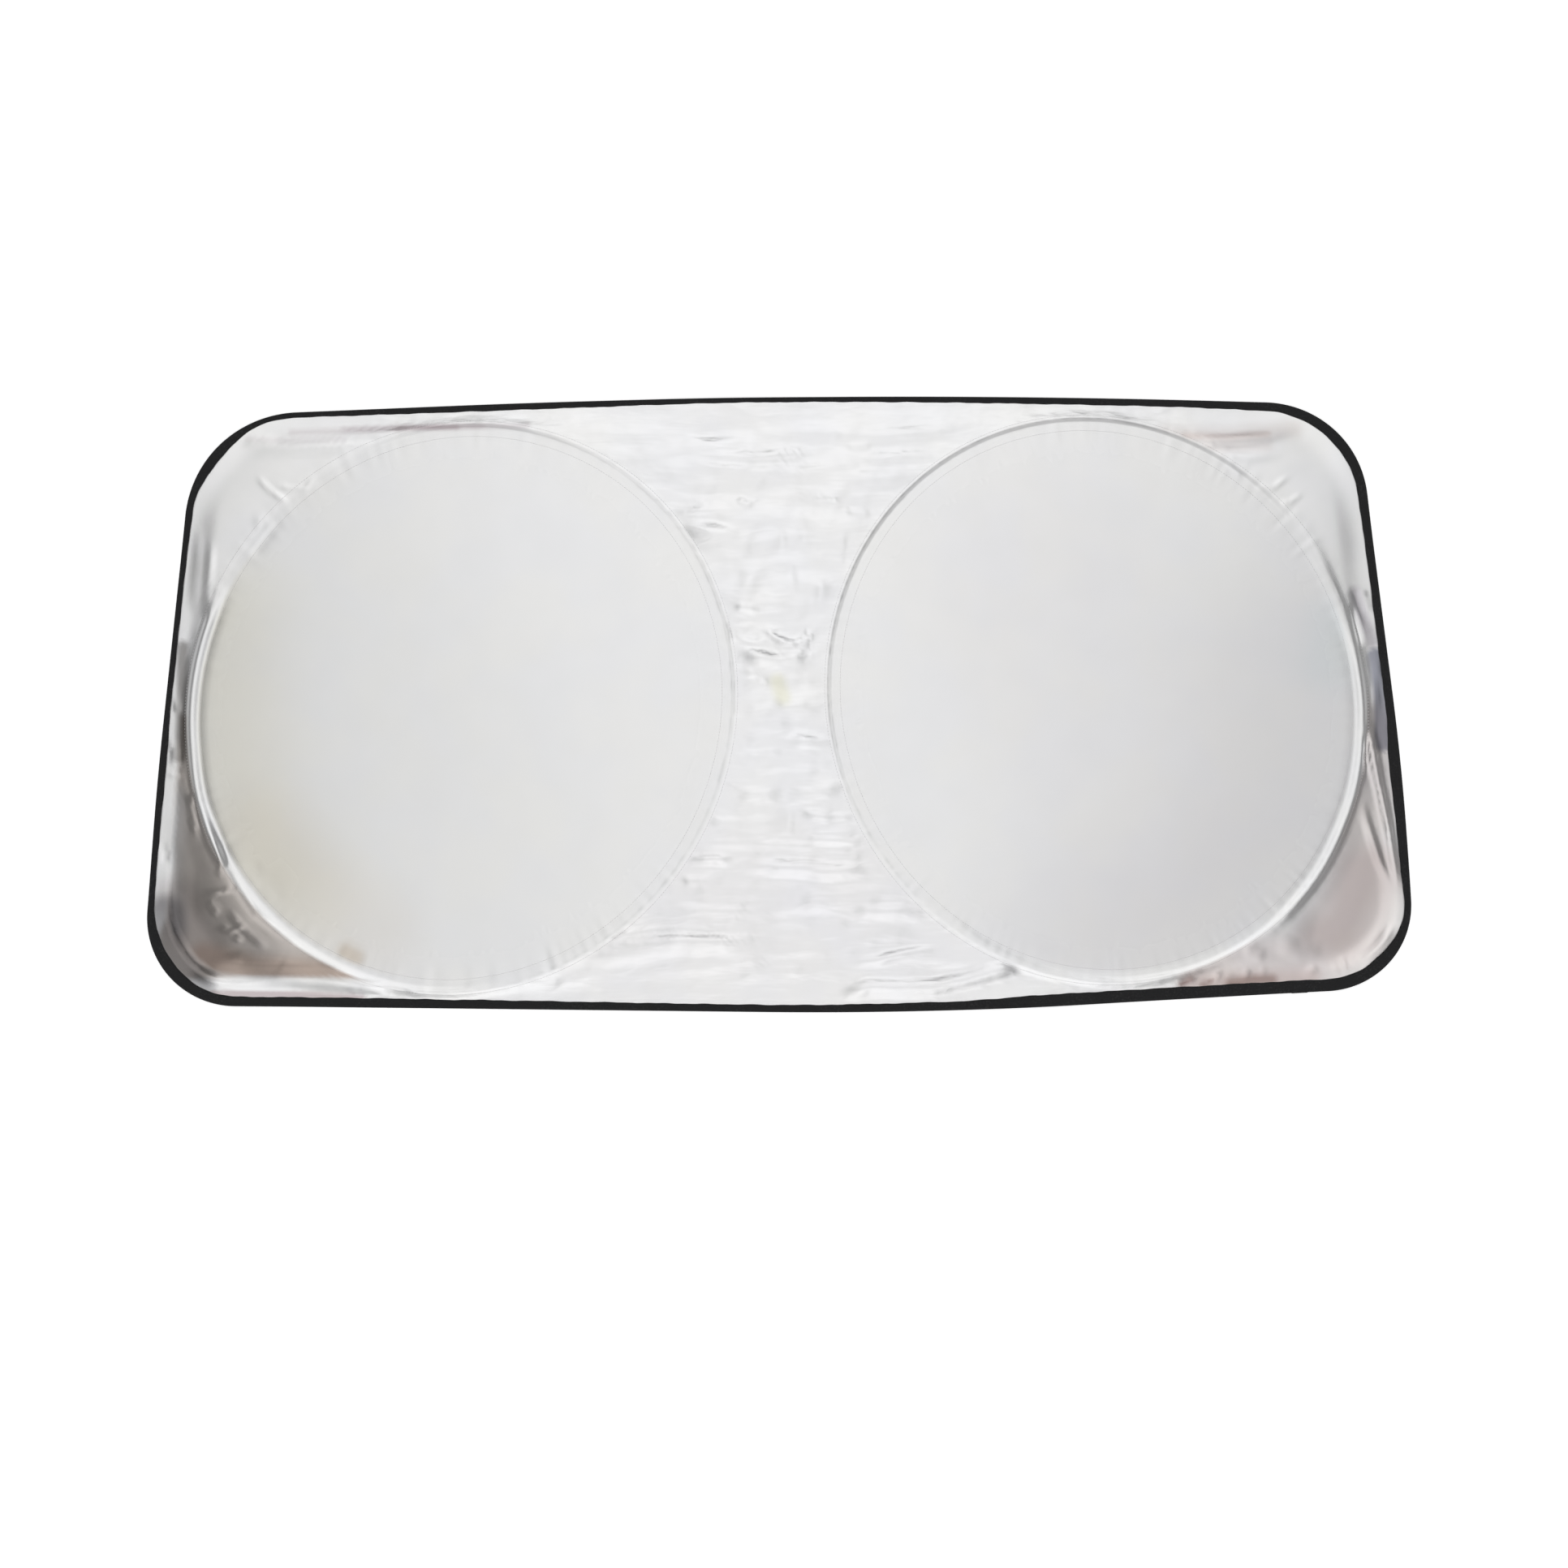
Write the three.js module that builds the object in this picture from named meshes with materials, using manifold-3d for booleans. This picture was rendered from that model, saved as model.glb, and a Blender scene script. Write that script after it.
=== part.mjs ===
// Windscreen sunshade of the twist-fold kind: one silver cloth panel over two spring-wire hoops,
// bound all round with black tape. It lies opened out, silver face up.
// Millimetres. X runs along the shade, Y towards its top edge, Z up; the origin is on the ground
// under the middle of the outline.

import * as THREE from 'three';
import { mergeVertices } from 'three/addons/utils/BufferGeometryUtils.js';
import Module from 'manifold-3d';

// Overall size, laid out
const shadeLength = 1450;
const shadeHeight = 707;

// Silver cloth, and the clearance between pieces that touch on the real shade
const clothThickness = 0.4;
const seatClearance = 0.3;

// Spring-wire hoops: the wire, the phase in degrees that leans each hoop towards the middle,
// and the crimp sleeve over the wire's two ends
const wireRadius = 0.9;
const hoopLean = 3;
const wireEndGap = 2;
const ferruleLength = 24;
const ferruleWall = 0.3;
const crimpClearance = 0.2;

// Gaps from each hoop to the ends, the middle line and the long edges of the shade
const leftHoop = { name: 'left', side: -1, end: 48.1, middle: 53.3, top: 33.8, bottom: 25.4 };
const rightHoop = { name: 'right', side: 1, end: 54.1, middle: 57.7, top: 27.1, bottom: 37.1 };

// Tape on the back that closes each wire channel, reaching from inside to outside the wire's line,
// and the cloth's ridge over the wire
const casingInside = 12.5;
const casingOutside = 5.5;
const casingThickness = 0.5;
const ridgeCrown = 3.6;
const ridgeFoot = 9;

// Binding folded over the edge
const bindingWall = 0.5;
const lapLength = 18;
const lapThickness = 0.4;
const lapPlace = 587;
const lapBite = 0.1;

// Visible width of the binding at places round the shade: [direction in degrees, width].
// The direction is seen from the middle, with the outline's box drawn square.
const bindingWidths = [
  [0, 9.8], [25, 9.5], [45, 11.7], [59, 8], [90, 5.6], [115, 7.5], [131, 6], [138, 12], [145, 8],
  [155, 6.5], [180, 6.5], [192, 8.4], [211, 7], [221, 13.5], [231, 11], [270, 8.4], [285, 10],
  [294, 14], [318, 14], [326, 8], [337, 11], [348, 13.5],
];

// Outline corners and gentle bends, counterclockwise: how far each lies in from the nearest end
// and edge of the outline's box, and the radius that rounds it
const topBend = { fromMiddle: 64.6, rise: 7, radius: 12800 };
const topLeftCorner = { in: 55.6, drop: 23.4, radius: 134 };
const leftBend = { in: 9, height: -106.2, radius: 4100 };
const bottomLeftCorner = { in: -6.8, drop: 7.6, radius: 109 };
const bottomBend = { fromMiddle: 161.3, rise: 2.5, radius: 5400 };
const bottomRightCorner = { in: -5.3, drop: 29.3, radius: 103 };
const rightBend = { in: 5.3, height: -103.3, radius: 2900 };
const topRightCorner = { in: 62.7, drop: 10.1, radius: 121 };

// Spacing of the facets along the corners, the sides and the middle line, and the rings of
// facets between a hoop and the edge
const cornerStep = 15;
const sideStep = 31;
const middleStep = 21;
const ringCount = 5;
const wireSides = 6;
const wireSteps = 76;
const ferruleSides = 12;

// The cloth lies flat near a hoop's ridge and comes free over this distance
const ridgeHold = 5;
const ridgeFree = 16;

// Folds and soft billows of the slack cloth: both ends as shares of half the length and half the
// height, the rise, and half the width across
const folds = [
  { from: [-0.862, 0.855], to: [-0.42, 0.915], rise: 4.5, spread: 18 },
  { from: [-0.9, 0.74], to: [-0.8, 0.66], rise: 5, spread: 30 },
  { from: [-0.79, 0.6], to: [-0.87, 0.4], rise: 4, spread: 20 },
  { from: [-0.955, -0.17], to: [-0.972, -0.69], rise: 5.5, spread: 16 },
  { from: [-0.9, -0.42], to: [-0.79, -0.76], rise: 8, spread: 42 },
  { from: [-0.925, -0.895], to: [-0.61, -0.94], rise: 5, spread: 17 },
  { from: [-0.1, 0.86], to: [0.12, 0.83], rise: 4.5, spread: 26 },
  { from: [-0.165, 0.61], to: [-0.03, 0.53], rise: 5, spread: 28 },
  { from: [0.04, 0.5], to: [0.06, 0.24], rise: 3, spread: 26 },
  { from: [-0.08, 0.2], to: [0.07, 0.17], rise: 4.5, spread: 26 },
  { from: [-0.07, -0.1], to: [0.09, -0.12], rise: 3.5, spread: 26 },
  { from: [-0.12, -0.46], to: [0.14, -0.5], rise: 4.5, spread: 28 },
  { from: [-0.31, -0.81], to: [0, -0.74], rise: 5.5, spread: 26 },
  { from: [0.11, -0.9], to: [0.37, -0.84], rise: 5.5, spread: 20 },
  { from: [0.65, 0.9], to: [0.82, 0.84], rise: 5, spread: 20 },
  { from: [0.8, 0.8], to: [0.91, 0.62], rise: 6, spread: 36 },
  { from: [0.915, 0.42], to: [0.945, -0.12], rise: 5, spread: 18 },
  { from: [0.93, -0.09], to: [0.972, -0.6], rise: 6.5, spread: 22 },
  { from: [0.8, -0.8], to: [0.93, -0.62], rise: 6.5, spread: 38 },
];

// Parts of the edge that lift off the ground: centre as shares of half the length and half the
// height, the lift and the reach round it
const edgeLifts = [
  { at: [-0.97, -0.9], lift: 5, reach: 170 },
  { at: [0.98, -0.86], lift: 5, reach: 160 },
  { at: [0.95, 0.92], lift: 4, reach: 150 },
  { at: [-0.95, 0.9], lift: 3.5, reach: 150 },
  { at: [0.42, -1], lift: 2.5, reach: 130 },
  { at: [-0.1, 1], lift: 2, reach: 140 },
];

// Places that follow from the sizes above
const halfLength = shadeLength / 2;
const halfHeight = shadeHeight / 2;
const ferruleInner = wireRadius + crimpClearance;
const ferruleOuter = ferruleInner + ferruleWall;
const wireCentre = casingThickness + seatClearance + ferruleOuter;
const clothUnderside = bindingWall + seatClearance;
const ridgeUnderside = wireCentre + ferruleOuter + seatClearance;
const bindingThickness = clothUnderside + clothThickness + seatClearance + bindingWall;
const clothEdge = bindingWall + seatClearance;
const bindingLip = 1.5;

const silverCloth = new THREE.MeshStandardMaterial({ color: 0xd4d4d6, roughness: 0.38, metalness: 0.7 });
const springSteel = new THREE.MeshStandardMaterial({ color: 0x80848a, roughness: 0.35, metalness: 1 });
const crimpAluminium = new THREE.MeshStandardMaterial({ color: 0xa8abb0, roughness: 0.4, metalness: 1 });
const blackTape = new THREE.MeshStandardMaterial({ color: 0x0d0d0f, roughness: 0.85, metalness: 0 });

// Rises smoothly from 0 to 1 as value goes from low to high
function ease(value, low, high) {
  return THREE.MathUtils.smoothstep(value, low, high);
}

// Distance from a point to the stretch between two points
function distanceToStretch(x, y, from, to) {
  const alongX = to[0] - from[0];
  const alongY = to[1] - from[1];
  const share = ((x - from[0]) * alongX + (y - from[1]) * alongY) / (alongX ** 2 + alongY ** 2);
  const held = THREE.MathUtils.clamp(share, 0, 1);
  return Math.hypot(x - from[0] - held * alongX, y - from[1] - held * alongY);
}

// How far the edge of the shade lifts off the ground at a point
function edgeLift(x, y) {
  let lift = 0;
  for (const bump of edgeLifts) {
    const away = Math.hypot(x - bump.at[0] * halfLength, y - bump.at[1] * halfHeight);
    lift += bump.lift * ease(bump.reach - away, 0, bump.reach);
  }
  return lift;
}

// How far the slack cloth stands up from where it would lie flat
function foldHeight(x, y) {
  let height = 0;
  for (const fold of folds) {
    const from = [fold.from[0] * halfLength, fold.from[1] * halfHeight];
    const to = [fold.to[0] * halfLength, fold.to[1] * halfHeight];
    const away = distanceToStretch(x, y, from, to);
    height = Math.max(height, fold.rise * ease(fold.spread - away, 0, fold.spread));
  }
  return height;
}

// One hoop as a leaning ring inside its half of the shade, described by a turn from 0 to 2 pi
function makeHoop({ name, side, end, middle, top, bottom }) {
  const across = (halfLength - end - middle) / 2;
  const up = (shadeHeight - top - bottom) / 2;
  const centre = new THREE.Vector2(side * (middle + across), (bottom - top) / 2);
  const lean = -side * THREE.MathUtils.degToRad(hoopLean);

  // A point of the ring, moved outwards by an offset
  function pointAt(turn, offset = 0) {
    const normal = new THREE.Vector2(up * Math.cos(turn + lean), across * Math.sin(turn)).normalize();
    const x = centre.x + across * Math.cos(turn) + normal.x * offset;
    const y = centre.y + up * Math.sin(turn + lean) + normal.y * offset;
    return new THREE.Vector2(x, y);
  }

  // The turn at which the ring lies in the direction of a point
  function turnTowards(point) {
    const x = (point.x - centre.x) / across;
    const y = (point.y - centre.y) / up;
    return Math.atan2((y - x * Math.sin(lean)) / Math.cos(lean), x);
  }

  // About how far a point lies from the ring
  function distanceFrom(x, y) {
    const flatX = (x - centre.x) / across;
    const flatY = ((y - centre.y) / up - flatX * Math.sin(lean)) / Math.cos(lean);
    return Math.abs(Math.hypot(flatX, flatY) - 1) * (across + up) / 2;
  }

  return { name, centre, pointAt, turnTowards, distanceFrom, radius: (across + up) / 2 };
}

const hoops = [makeHoop(leftHoop), makeHoop(rightHoop)];

// Height of the cloth's upper face where it lies on neither ridge
function clothTop(x, y) {
  const nearest = Math.min(...hoops.map((hoop) => hoop.distanceFrom(x, y)));
  const slack = Math.max(foldHeight(x, y), edgeLift(x, y));
  return clothUnderside + clothThickness + slack * ease(nearest, ridgeHold, ridgeFree);
}

// Rounds a closed polygon: each vertex becomes an arc, which a bend gives up where it has no room
function roundPolygon(vertices) {
  const count = vertices.length;
  const bends = vertices.map((vertex, i) => {
    const before = vertices[(i + count - 1) % count].point.clone().sub(vertex.point);
    const after = vertices[(i + 1) % count].point.clone().sub(vertex.point);
    const half = before.angleTo(after) / 2;
    const room = Math.min(before.length(), after.length());
    const reach = vertex.radius / Math.tan(half);
    const held = vertex.step === cornerStep ? Math.min(reach, room * 0.45) : reach;
    return { vertex, before, after, half, reach: held };
  });
  bends.forEach((bend, i) => {
    const next = bends[(i + 1) % count];
    const last = bends[(i + count - 1) % count];
    if (bend.vertex.step !== cornerStep) {
      const room = Math.min(bend.before.length() - last.reach, bend.after.length() - next.reach);
      bend.reach = Math.min(bend.reach, room);
    }
  });
  const points = [];
  bends.forEach((bend, i) => {
    const start = bend.vertex.point.clone().add(bend.before.clone().setLength(bend.reach));
    const finish = bend.vertex.point.clone().add(bend.after.clone().setLength(bend.reach));
    const radius = bend.reach * Math.tan(bend.half);
    const towards = bend.before.clone().normalize().add(bend.after.clone().normalize()).normalize();
    const centre = bend.vertex.point.clone().add(towards.multiplyScalar(radius / Math.sin(bend.half)));
    const first = start.clone().sub(centre).angle();
    const sweep = Math.PI - 2 * bend.half;
    const pieces = Math.max(2, Math.round((radius * sweep) / bend.vertex.step));
    for (let k = 0; k <= pieces; k++) {
      const angle = first + (sweep * k) / pieces;
      points.push(new THREE.Vector2(Math.cos(angle), Math.sin(angle)).multiplyScalar(radius).add(centre));
    }
    const next = bends[(i + 1) % count];
    const goal = next.vertex.point.clone().add(next.before.clone().setLength(next.reach));
    const straight = Math.round(finish.distanceTo(goal) / sideStep);
    for (let k = 1; k < straight; k++) {
      points.push(finish.clone().lerp(goal, k / straight));
    }
  });
  return points;
}

// The outline's corners and bends as vertices, counterclockwise from the top bend
function outlineVertices() {
  const corner = (side, edge, { in: inwards, drop, radius }) => ({
    point: new THREE.Vector2(side * (halfLength - inwards), edge * (halfHeight - drop)),
    radius,
    step: cornerStep,
  });
  const longBend = (edge, { fromMiddle, rise, radius }) => ({
    point: new THREE.Vector2(fromMiddle, edge * (halfHeight + rise)),
    radius,
    step: sideStep,
  });
  const endBend = (side, { in: inwards, height, radius }) => ({
    point: new THREE.Vector2(side * (halfLength - inwards), height),
    radius,
    step: sideStep,
  });
  return [
    longBend(1, topBend),
    corner(-1, 1, topLeftCorner),
    endBend(-1, leftBend),
    corner(-1, -1, bottomLeftCorner),
    longBend(-1, bottomBend),
    corner(1, -1, bottomRightCorner),
    endBend(1, rightBend),
    corner(1, 1, topRightCorner),
  ];
}

// Visible width of the binding in a direction from the middle
function bindingWidthAt(x, y) {
  const direction = THREE.MathUtils.euclideanModulo(
    THREE.MathUtils.radToDeg(Math.atan2(y / halfHeight, x / halfLength)), 360);
  const places = [...bindingWidths, [bindingWidths[0][0] + 360, bindingWidths[0][1]]];
  const next = places.findIndex(([angle]) => angle > direction);
  const [low, high] = [places[next - 1], places[next]];
  return THREE.MathUtils.lerp(low[1], high[1], ease(direction, low[0], high[0]));
}

// Stations round the edge: a point, the direction inwards, the binding's width and the lift.
// The first lies on the middle line at the top, and another on it at the bottom.
function makeStations() {
  const raw = roundPolygon(outlineVertices());
  const box = new THREE.Box2().setFromPoints(raw);
  const shift = box.getCenter(new THREE.Vector2());
  raw.forEach((point) => point.sub(shift));
  const points = [];
  const crossings = [];
  raw.forEach((point, i) => {
    const next = raw[(i + 1) % raw.length];
    if (Math.abs(point.x) > sideStep / 4) points.push(point);
    if (point.x * next.x < 0) {
      const crossing = point.clone().lerp(next, point.x / (point.x - next.x));
      crossings.push(crossing);
      points.push(crossing);
    }
  });
  const top = points.indexOf(crossings.find((point) => point.y > 0));
  const ordered = [...points.slice(top), ...points.slice(0, top)];
  return ordered.map((point, i) => {
    const last = ordered[(i + ordered.length - 1) % ordered.length];
    const next = ordered[(i + 1) % ordered.length];
    const before = point.clone().sub(last).normalize();
    const after = next.clone().sub(point).normalize();
    const along = before.add(after).normalize();
    const inwards = new THREE.Vector2(-along.y, along.x);
    return { point, inwards, width: bindingWidthAt(point.x, point.y), lift: edgeLift(point.x, point.y) };
  });
}

const stations = makeStations();
const bottomStation = stations.findIndex(({ point }) => Math.abs(point.x) < 0.001 && point.y < 0);

// The place of a station at a distance in from the edge, at a height above the ground
function stationPoint({ point, inwards, lift }, inset, height) {
  return new THREE.Vector3(point.x + inwards.x * inset, point.y + inwards.y * inset, height + lift);
}

// A mesh geometry from corner points and triangles, with equal points joined
function geometryOf(triangles) {
  const loose = new THREE.BufferGeometry();
  const numbers = triangles.flatMap((corners) => corners.flatMap(({ x, y, z }) => [x, y, z]));
  loose.setAttribute('position', new THREE.Float32BufferAttribute(numbers, 3));
  return mergeVertices(loose, 0.001);
}

// Two triangles over four corners given in order round them
function quad(a, b, c, d) {
  return [[a, b, c], [a, c, d]];
}

// A solid between sections that follow each other, each a list of corners, clockwise as seen
// from behind: closed into a ring, or ended by caps that fan out from the first corner
function sweep(sections, closed) {
  const triangles = [];
  const last = closed ? sections.length : sections.length - 1;
  for (let i = 0; i < last; i++) {
    const here = sections[i];
    const next = sections[(i + 1) % sections.length];
    for (let k = 0; k < here.length; k++) {
      const m = (k + 1) % here.length;
      triangles.push(...quad(here[k], next[k], next[m], here[m]));
    }
  }
  if (!closed) {
    const [start, end] = [sections[0], sections[sections.length - 1]];
    for (let k = 1; k + 1 < start.length; k++) {
      triangles.push([start[0], start[k], start[k + 1]], [end[0], end[k + 1], end[k]]);
    }
  }
  return geometryOf(triangles);
}

// A closed sheet under an upper surface: the same surface lowered by its thickness, and the rim
function thicken(surface, thickness) {
  const upper = geometryOf(surface);
  const position = upper.getAttribute('position');
  const index = upper.getIndex().array;
  const top = (i) => new THREE.Vector3().fromBufferAttribute(position, i);
  const under = (i) => top(i).setZ(position.getZ(i) - thickness);
  const edges = new Set();
  for (let i = 0; i < index.length; i += 3) {
    for (let k = 0; k < 3; k++) edges.add(`${index[i + k]} ${index[i + ((k + 1) % 3)]}`);
  }
  const triangles = [];
  for (let i = 0; i < index.length; i += 3) {
    const [a, b, c] = [index[i], index[i + 1], index[i + 2]];
    triangles.push([top(a), top(b), top(c)], [under(a), under(c), under(b)]);
    for (const [from, to] of [[a, b], [b, c], [c, a]]) {
      if (!edges.has(`${to} ${from}`)) triangles.push(...quad(top(to), top(from), under(from), under(to)));
    }
  }
  return geometryOf(triangles);
}

// The line that bounds one half of the slack cloth: the binding's lip, then the middle line
function halfBoundary(first, last, middle) {
  const lip = [];
  for (let i = first; i <= last; i++) {
    const station = stations[i % stations.length];
    lip.push(stationPoint(station, station.width + bindingLip, clothUnderside + clothThickness));
  }
  return [...lip, ...middle];
}

// Points down the middle line between the binding's lips, without its ends
function middleLine() {
  const height = clothUnderside + clothThickness;
  const [top, bottom] = [stations[0], stations[bottomStation]].map(
    (station) => stationPoint(station, station.width + bindingLip, height));
  const count = Math.round(top.distanceTo(bottom) / middleStep);
  const line = [];
  for (let i = 1; i < count; i++) {
    const point = top.clone().lerp(bottom, i / count);
    line.push(point.setZ(clothTop(point.x, point.y)));
  }
  return line;
}

// Upper surface of the cloth from a hoop's centre out to the boundary of its half
function halfSurface(hoop, boundary) {
  const flat = clothUnderside + clothThickness;
  const crown = ridgeUnderside + clothThickness;
  const profile = [[-ridgeFoot / 2, flat], [-ridgeCrown / 2, crown], [ridgeCrown / 2, crown], [ridgeFoot / 2, flat]];
  const spokes = boundary.map((goal) => {
    const turn = hoop.turnTowards(goal);
    const spoke = profile.map(([offset, height]) => {
      const { x, y } = hoop.pointAt(turn, offset);
      return new THREE.Vector3(x, y, height);
    });
    const foot = spoke[spoke.length - 1];
    for (let k = 1; k < ringCount; k++) {
      const point = foot.clone().lerp(goal, k / ringCount);
      spoke.push(point.setZ(clothTop(point.x, point.y)));
    }
    return [...spoke, goal];
  });
  const centre = new THREE.Vector3(hoop.centre.x, hoop.centre.y, flat);
  const surface = [];
  spokes.forEach((spoke, i) => {
    const next = spokes[(i + 1) % spokes.length];
    surface.push([centre, spoke[0], next[0]]);
    for (let k = 0; k + 1 < spoke.length; k++) {
      surface.push(...quad(spoke[k], spoke[k + 1], next[k + 1], next[k]));
    }
  });
  return surface;
}

// The silver cloth: both halves and the strip that runs into the binding, as one sheet
function makePanel() {
  const middle = middleLine();
  const leftSide = halfBoundary(0, bottomStation, [...middle].reverse());
  const rightSide = halfBoundary(bottomStation, stations.length, middle);
  const surface = [...halfSurface(hoops[0], leftSide), ...halfSurface(hoops[1], rightSide)];
  const height = clothUnderside + clothThickness;
  stations.forEach((station, i) => {
    const next = stations[(i + 1) % stations.length];
    surface.push(...quad(
      stationPoint(station, station.width + bindingLip, height),
      stationPoint(station, clothEdge, height),
      stationPoint(next, clothEdge, height),
      stationPoint(next, next.width + bindingLip, height),
    ));
  });
  return { geometry: thicken(surface, clothThickness), boundaries: [leftSide, rightSide] };
}

// A regular polygon as a closed path
function ringPoints(radius, sides) {
  const points = [];
  for (let k = 0; k < sides; k++) {
    const angle = (2 * Math.PI * k) / sides;
    points.push(new THREE.Vector2(radius * Math.cos(angle), radius * Math.sin(angle)));
  }
  return points;
}

// The wire's ends meet at the bottom of its hoop, in a straight stretch inside the sleeve
const meetingTurn = -Math.PI / 2;

function meetingOf(hoop) {
  const half = ferruleLength / 2 / hoop.radius;
  const [before, after] = [-half, half].map((turn) => hoop.pointAt(meetingTurn + turn));
  const along = after.clone().sub(before).normalize();
  return { half, along, middle: before.lerp(after, 0.5) };
}

// Spring wire: one open ring whose ends almost meet
function makeWire(hoop) {
  const { half, along, middle } = meetingOf(hoop);
  const endAt = (distance) => ({
    point: middle.clone().addScaledVector(along, distance),
    outwards: new THREE.Vector2(along.y, -along.x),
  });
  const places = [endAt(wireEndGap / 2)];
  for (let k = 0; k <= wireSteps; k++) {
    const turn = THREE.MathUtils.lerp(half, 2 * Math.PI - half, k / wireSteps) + meetingTurn;
    const point = hoop.pointAt(turn);
    places.push({ point, outwards: hoop.pointAt(turn, 1).sub(point) });
  }
  places.push(endAt(-wireEndGap / 2));
  const sections = places.map(({ point, outwards }) => ringPoints(wireRadius, wireSides).map(
    ({ x, y }) => new THREE.Vector3(point.x + outwards.x * x, point.y + outwards.y * x, wireCentre + y)));
  return sweep(sections, false);
}

// Crimp sleeve: a straight tube over the wire's two ends
function makeFerrule(hoop) {
  const { along, middle } = meetingOf(hoop);
  const end = ferruleLength / 2;
  const profile = [[ferruleInner, -end], [ferruleOuter, -end], [ferruleOuter, end], [ferruleInner, end],
    [ferruleInner, -end]].map(([radius, place]) => new THREE.Vector2(radius, place));
  const tube = new THREE.LatheGeometry(profile, ferruleSides);
  tube.rotateZ(along.angle() - Math.PI / 2);
  tube.translate(middle.x, middle.y, wireCentre);
  return tube;
}

// Tape under a hoop, flat on the ground
function makeCasing(hoop, boundary) {
  const section = [[casingOutside, 0], [casingOutside, casingThickness], [-casingInside, casingThickness],
    [-casingInside, 0]];
  const sections = boundary.map((goal) => {
    const turn = hoop.turnTowards(goal);
    return section.map(([offset, height]) => {
      const { x, y } = hoop.pointAt(turn, offset);
      return new THREE.Vector3(x, y, height);
    });
  });
  return sweep(sections, true);
}

// Section of the folded binding at a station, open towards the middle of the shade
function bindingSection(station) {
  const lip = station.width;
  const slotTop = bindingThickness - bindingWall;
  return [[0, 0], [0, bindingThickness], [lip, bindingThickness], [lip, slotTop],
    [bindingWall, slotTop], [bindingWall, bindingWall], [lip, bindingWall], [lip, 0]].map(
    ([inset, height]) => stationPoint(station, inset, height));
}

// Section of the tape's lapped end, which lies over the binding's top and outer side
function lapSection(station) {
  const crown = bindingThickness + lapThickness;
  const bitten = bindingThickness - lapBite;
  return [[lapBite, bitten], [lapBite, 0], [-lapThickness, 0], [-lapThickness, crown],
    [station.width, crown], [station.width, bitten]].map(
    ([inset, height]) => stationPoint(station, inset, height));
}

// A station on the bottom edge at a distance along the shade
function bottomStationAt(x) {
  const next = stations.findIndex(({ point }, i) => i > bottomStation && point.x > x);
  const [before, after] = [stations[next - 1], stations[next]];
  const share = (x - before.point.x) / (after.point.x - before.point.x);
  return {
    point: before.point.clone().lerp(after.point, share),
    inwards: before.inwards.clone().lerp(after.inwards, share).normalize(),
    width: THREE.MathUtils.lerp(before.width, after.width, share),
    lift: THREE.MathUtils.lerp(before.lift, after.lift, share),
  };
}

// A closed mesh as a solid that can be joined, and back
function solidOf(wasm, geometry) {
  return new wasm.Manifold(new wasm.Mesh({
    numProp: 3,
    vertProperties: new Float32Array(geometry.getAttribute('position').array),
    triVerts: new Uint32Array(geometry.getIndex().array),
  }));
}

function geometryOfSolid(solid) {
  const mesh = solid.getMesh();
  const geometry = new THREE.BufferGeometry();
  geometry.setAttribute('position', new THREE.BufferAttribute(mesh.vertProperties, 3));
  geometry.setIndex(new THREE.BufferAttribute(mesh.triVerts, 1));
  return geometry;
}

// Binding round the whole edge, with its end lapped over its start
function makeBinding(wasm) {
  const tape = sweep(stations.map(bindingSection), true);
  const lap = sweep([lapPlace, lapPlace + lapLength].map((x) => lapSection(bottomStationAt(x))), false);
  return geometryOfSolid(solidOf(wasm, tape).add(solidOf(wasm, lap)));
}

// Names a geometry's mesh and gives it its material
function makeMesh(name, geometry, material) {
  geometry.computeVertexNormals();
  const mesh = new THREE.Mesh(geometry, material);
  mesh.name = name;
  return mesh;
}

const wasm = await Module();
wasm.setup();

const sunshade = new THREE.Group();
const panel = makePanel();
sunshade.add(makeMesh('silver_panel', panel.geometry, silverCloth));
hoops.forEach((hoop, i) => {
  sunshade.add(makeMesh(`${hoop.name}_hoop_wire`, makeWire(hoop), springSteel));
  sunshade.add(makeMesh(`${hoop.name}_hoop_ferrule`, makeFerrule(hoop), crimpAluminium));
  sunshade.add(makeMesh(`${hoop.name}_casing_tape`, makeCasing(hoop, panel.boundaries[i]), blackTape));
});
sunshade.add(makeMesh('edge_binding', makeBinding(wasm), blackTape));

export default sunshade;
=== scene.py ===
"""Looks of a windscreen sunshade that lies opened out, silver face up.

The shade is one silver cloth panel over two spring-wire hoops, bound all round with black woven
tape. Lengths in this file are millimetres, and each mesh is written in metres, in the frame of the
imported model: X along the shade, Y towards its top edge, Z up from the ground.
"""

import logging
import math
from dataclasses import dataclass
from enum import Enum

import bpy
import numpy as np
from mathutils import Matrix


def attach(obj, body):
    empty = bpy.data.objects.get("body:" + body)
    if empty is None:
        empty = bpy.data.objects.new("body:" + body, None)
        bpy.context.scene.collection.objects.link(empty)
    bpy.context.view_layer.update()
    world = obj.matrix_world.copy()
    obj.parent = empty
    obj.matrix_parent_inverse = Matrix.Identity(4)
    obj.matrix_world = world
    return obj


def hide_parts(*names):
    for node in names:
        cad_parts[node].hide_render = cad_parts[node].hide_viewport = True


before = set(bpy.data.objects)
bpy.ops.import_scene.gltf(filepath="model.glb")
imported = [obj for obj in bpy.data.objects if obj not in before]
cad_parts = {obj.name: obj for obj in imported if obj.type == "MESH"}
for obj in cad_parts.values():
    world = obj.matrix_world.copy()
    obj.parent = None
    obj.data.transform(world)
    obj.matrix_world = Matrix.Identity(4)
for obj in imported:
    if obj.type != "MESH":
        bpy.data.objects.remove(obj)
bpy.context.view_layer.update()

METRES = 0.001
BODY = "root"
LOG = logging.getLogger("sunshade")

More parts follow.
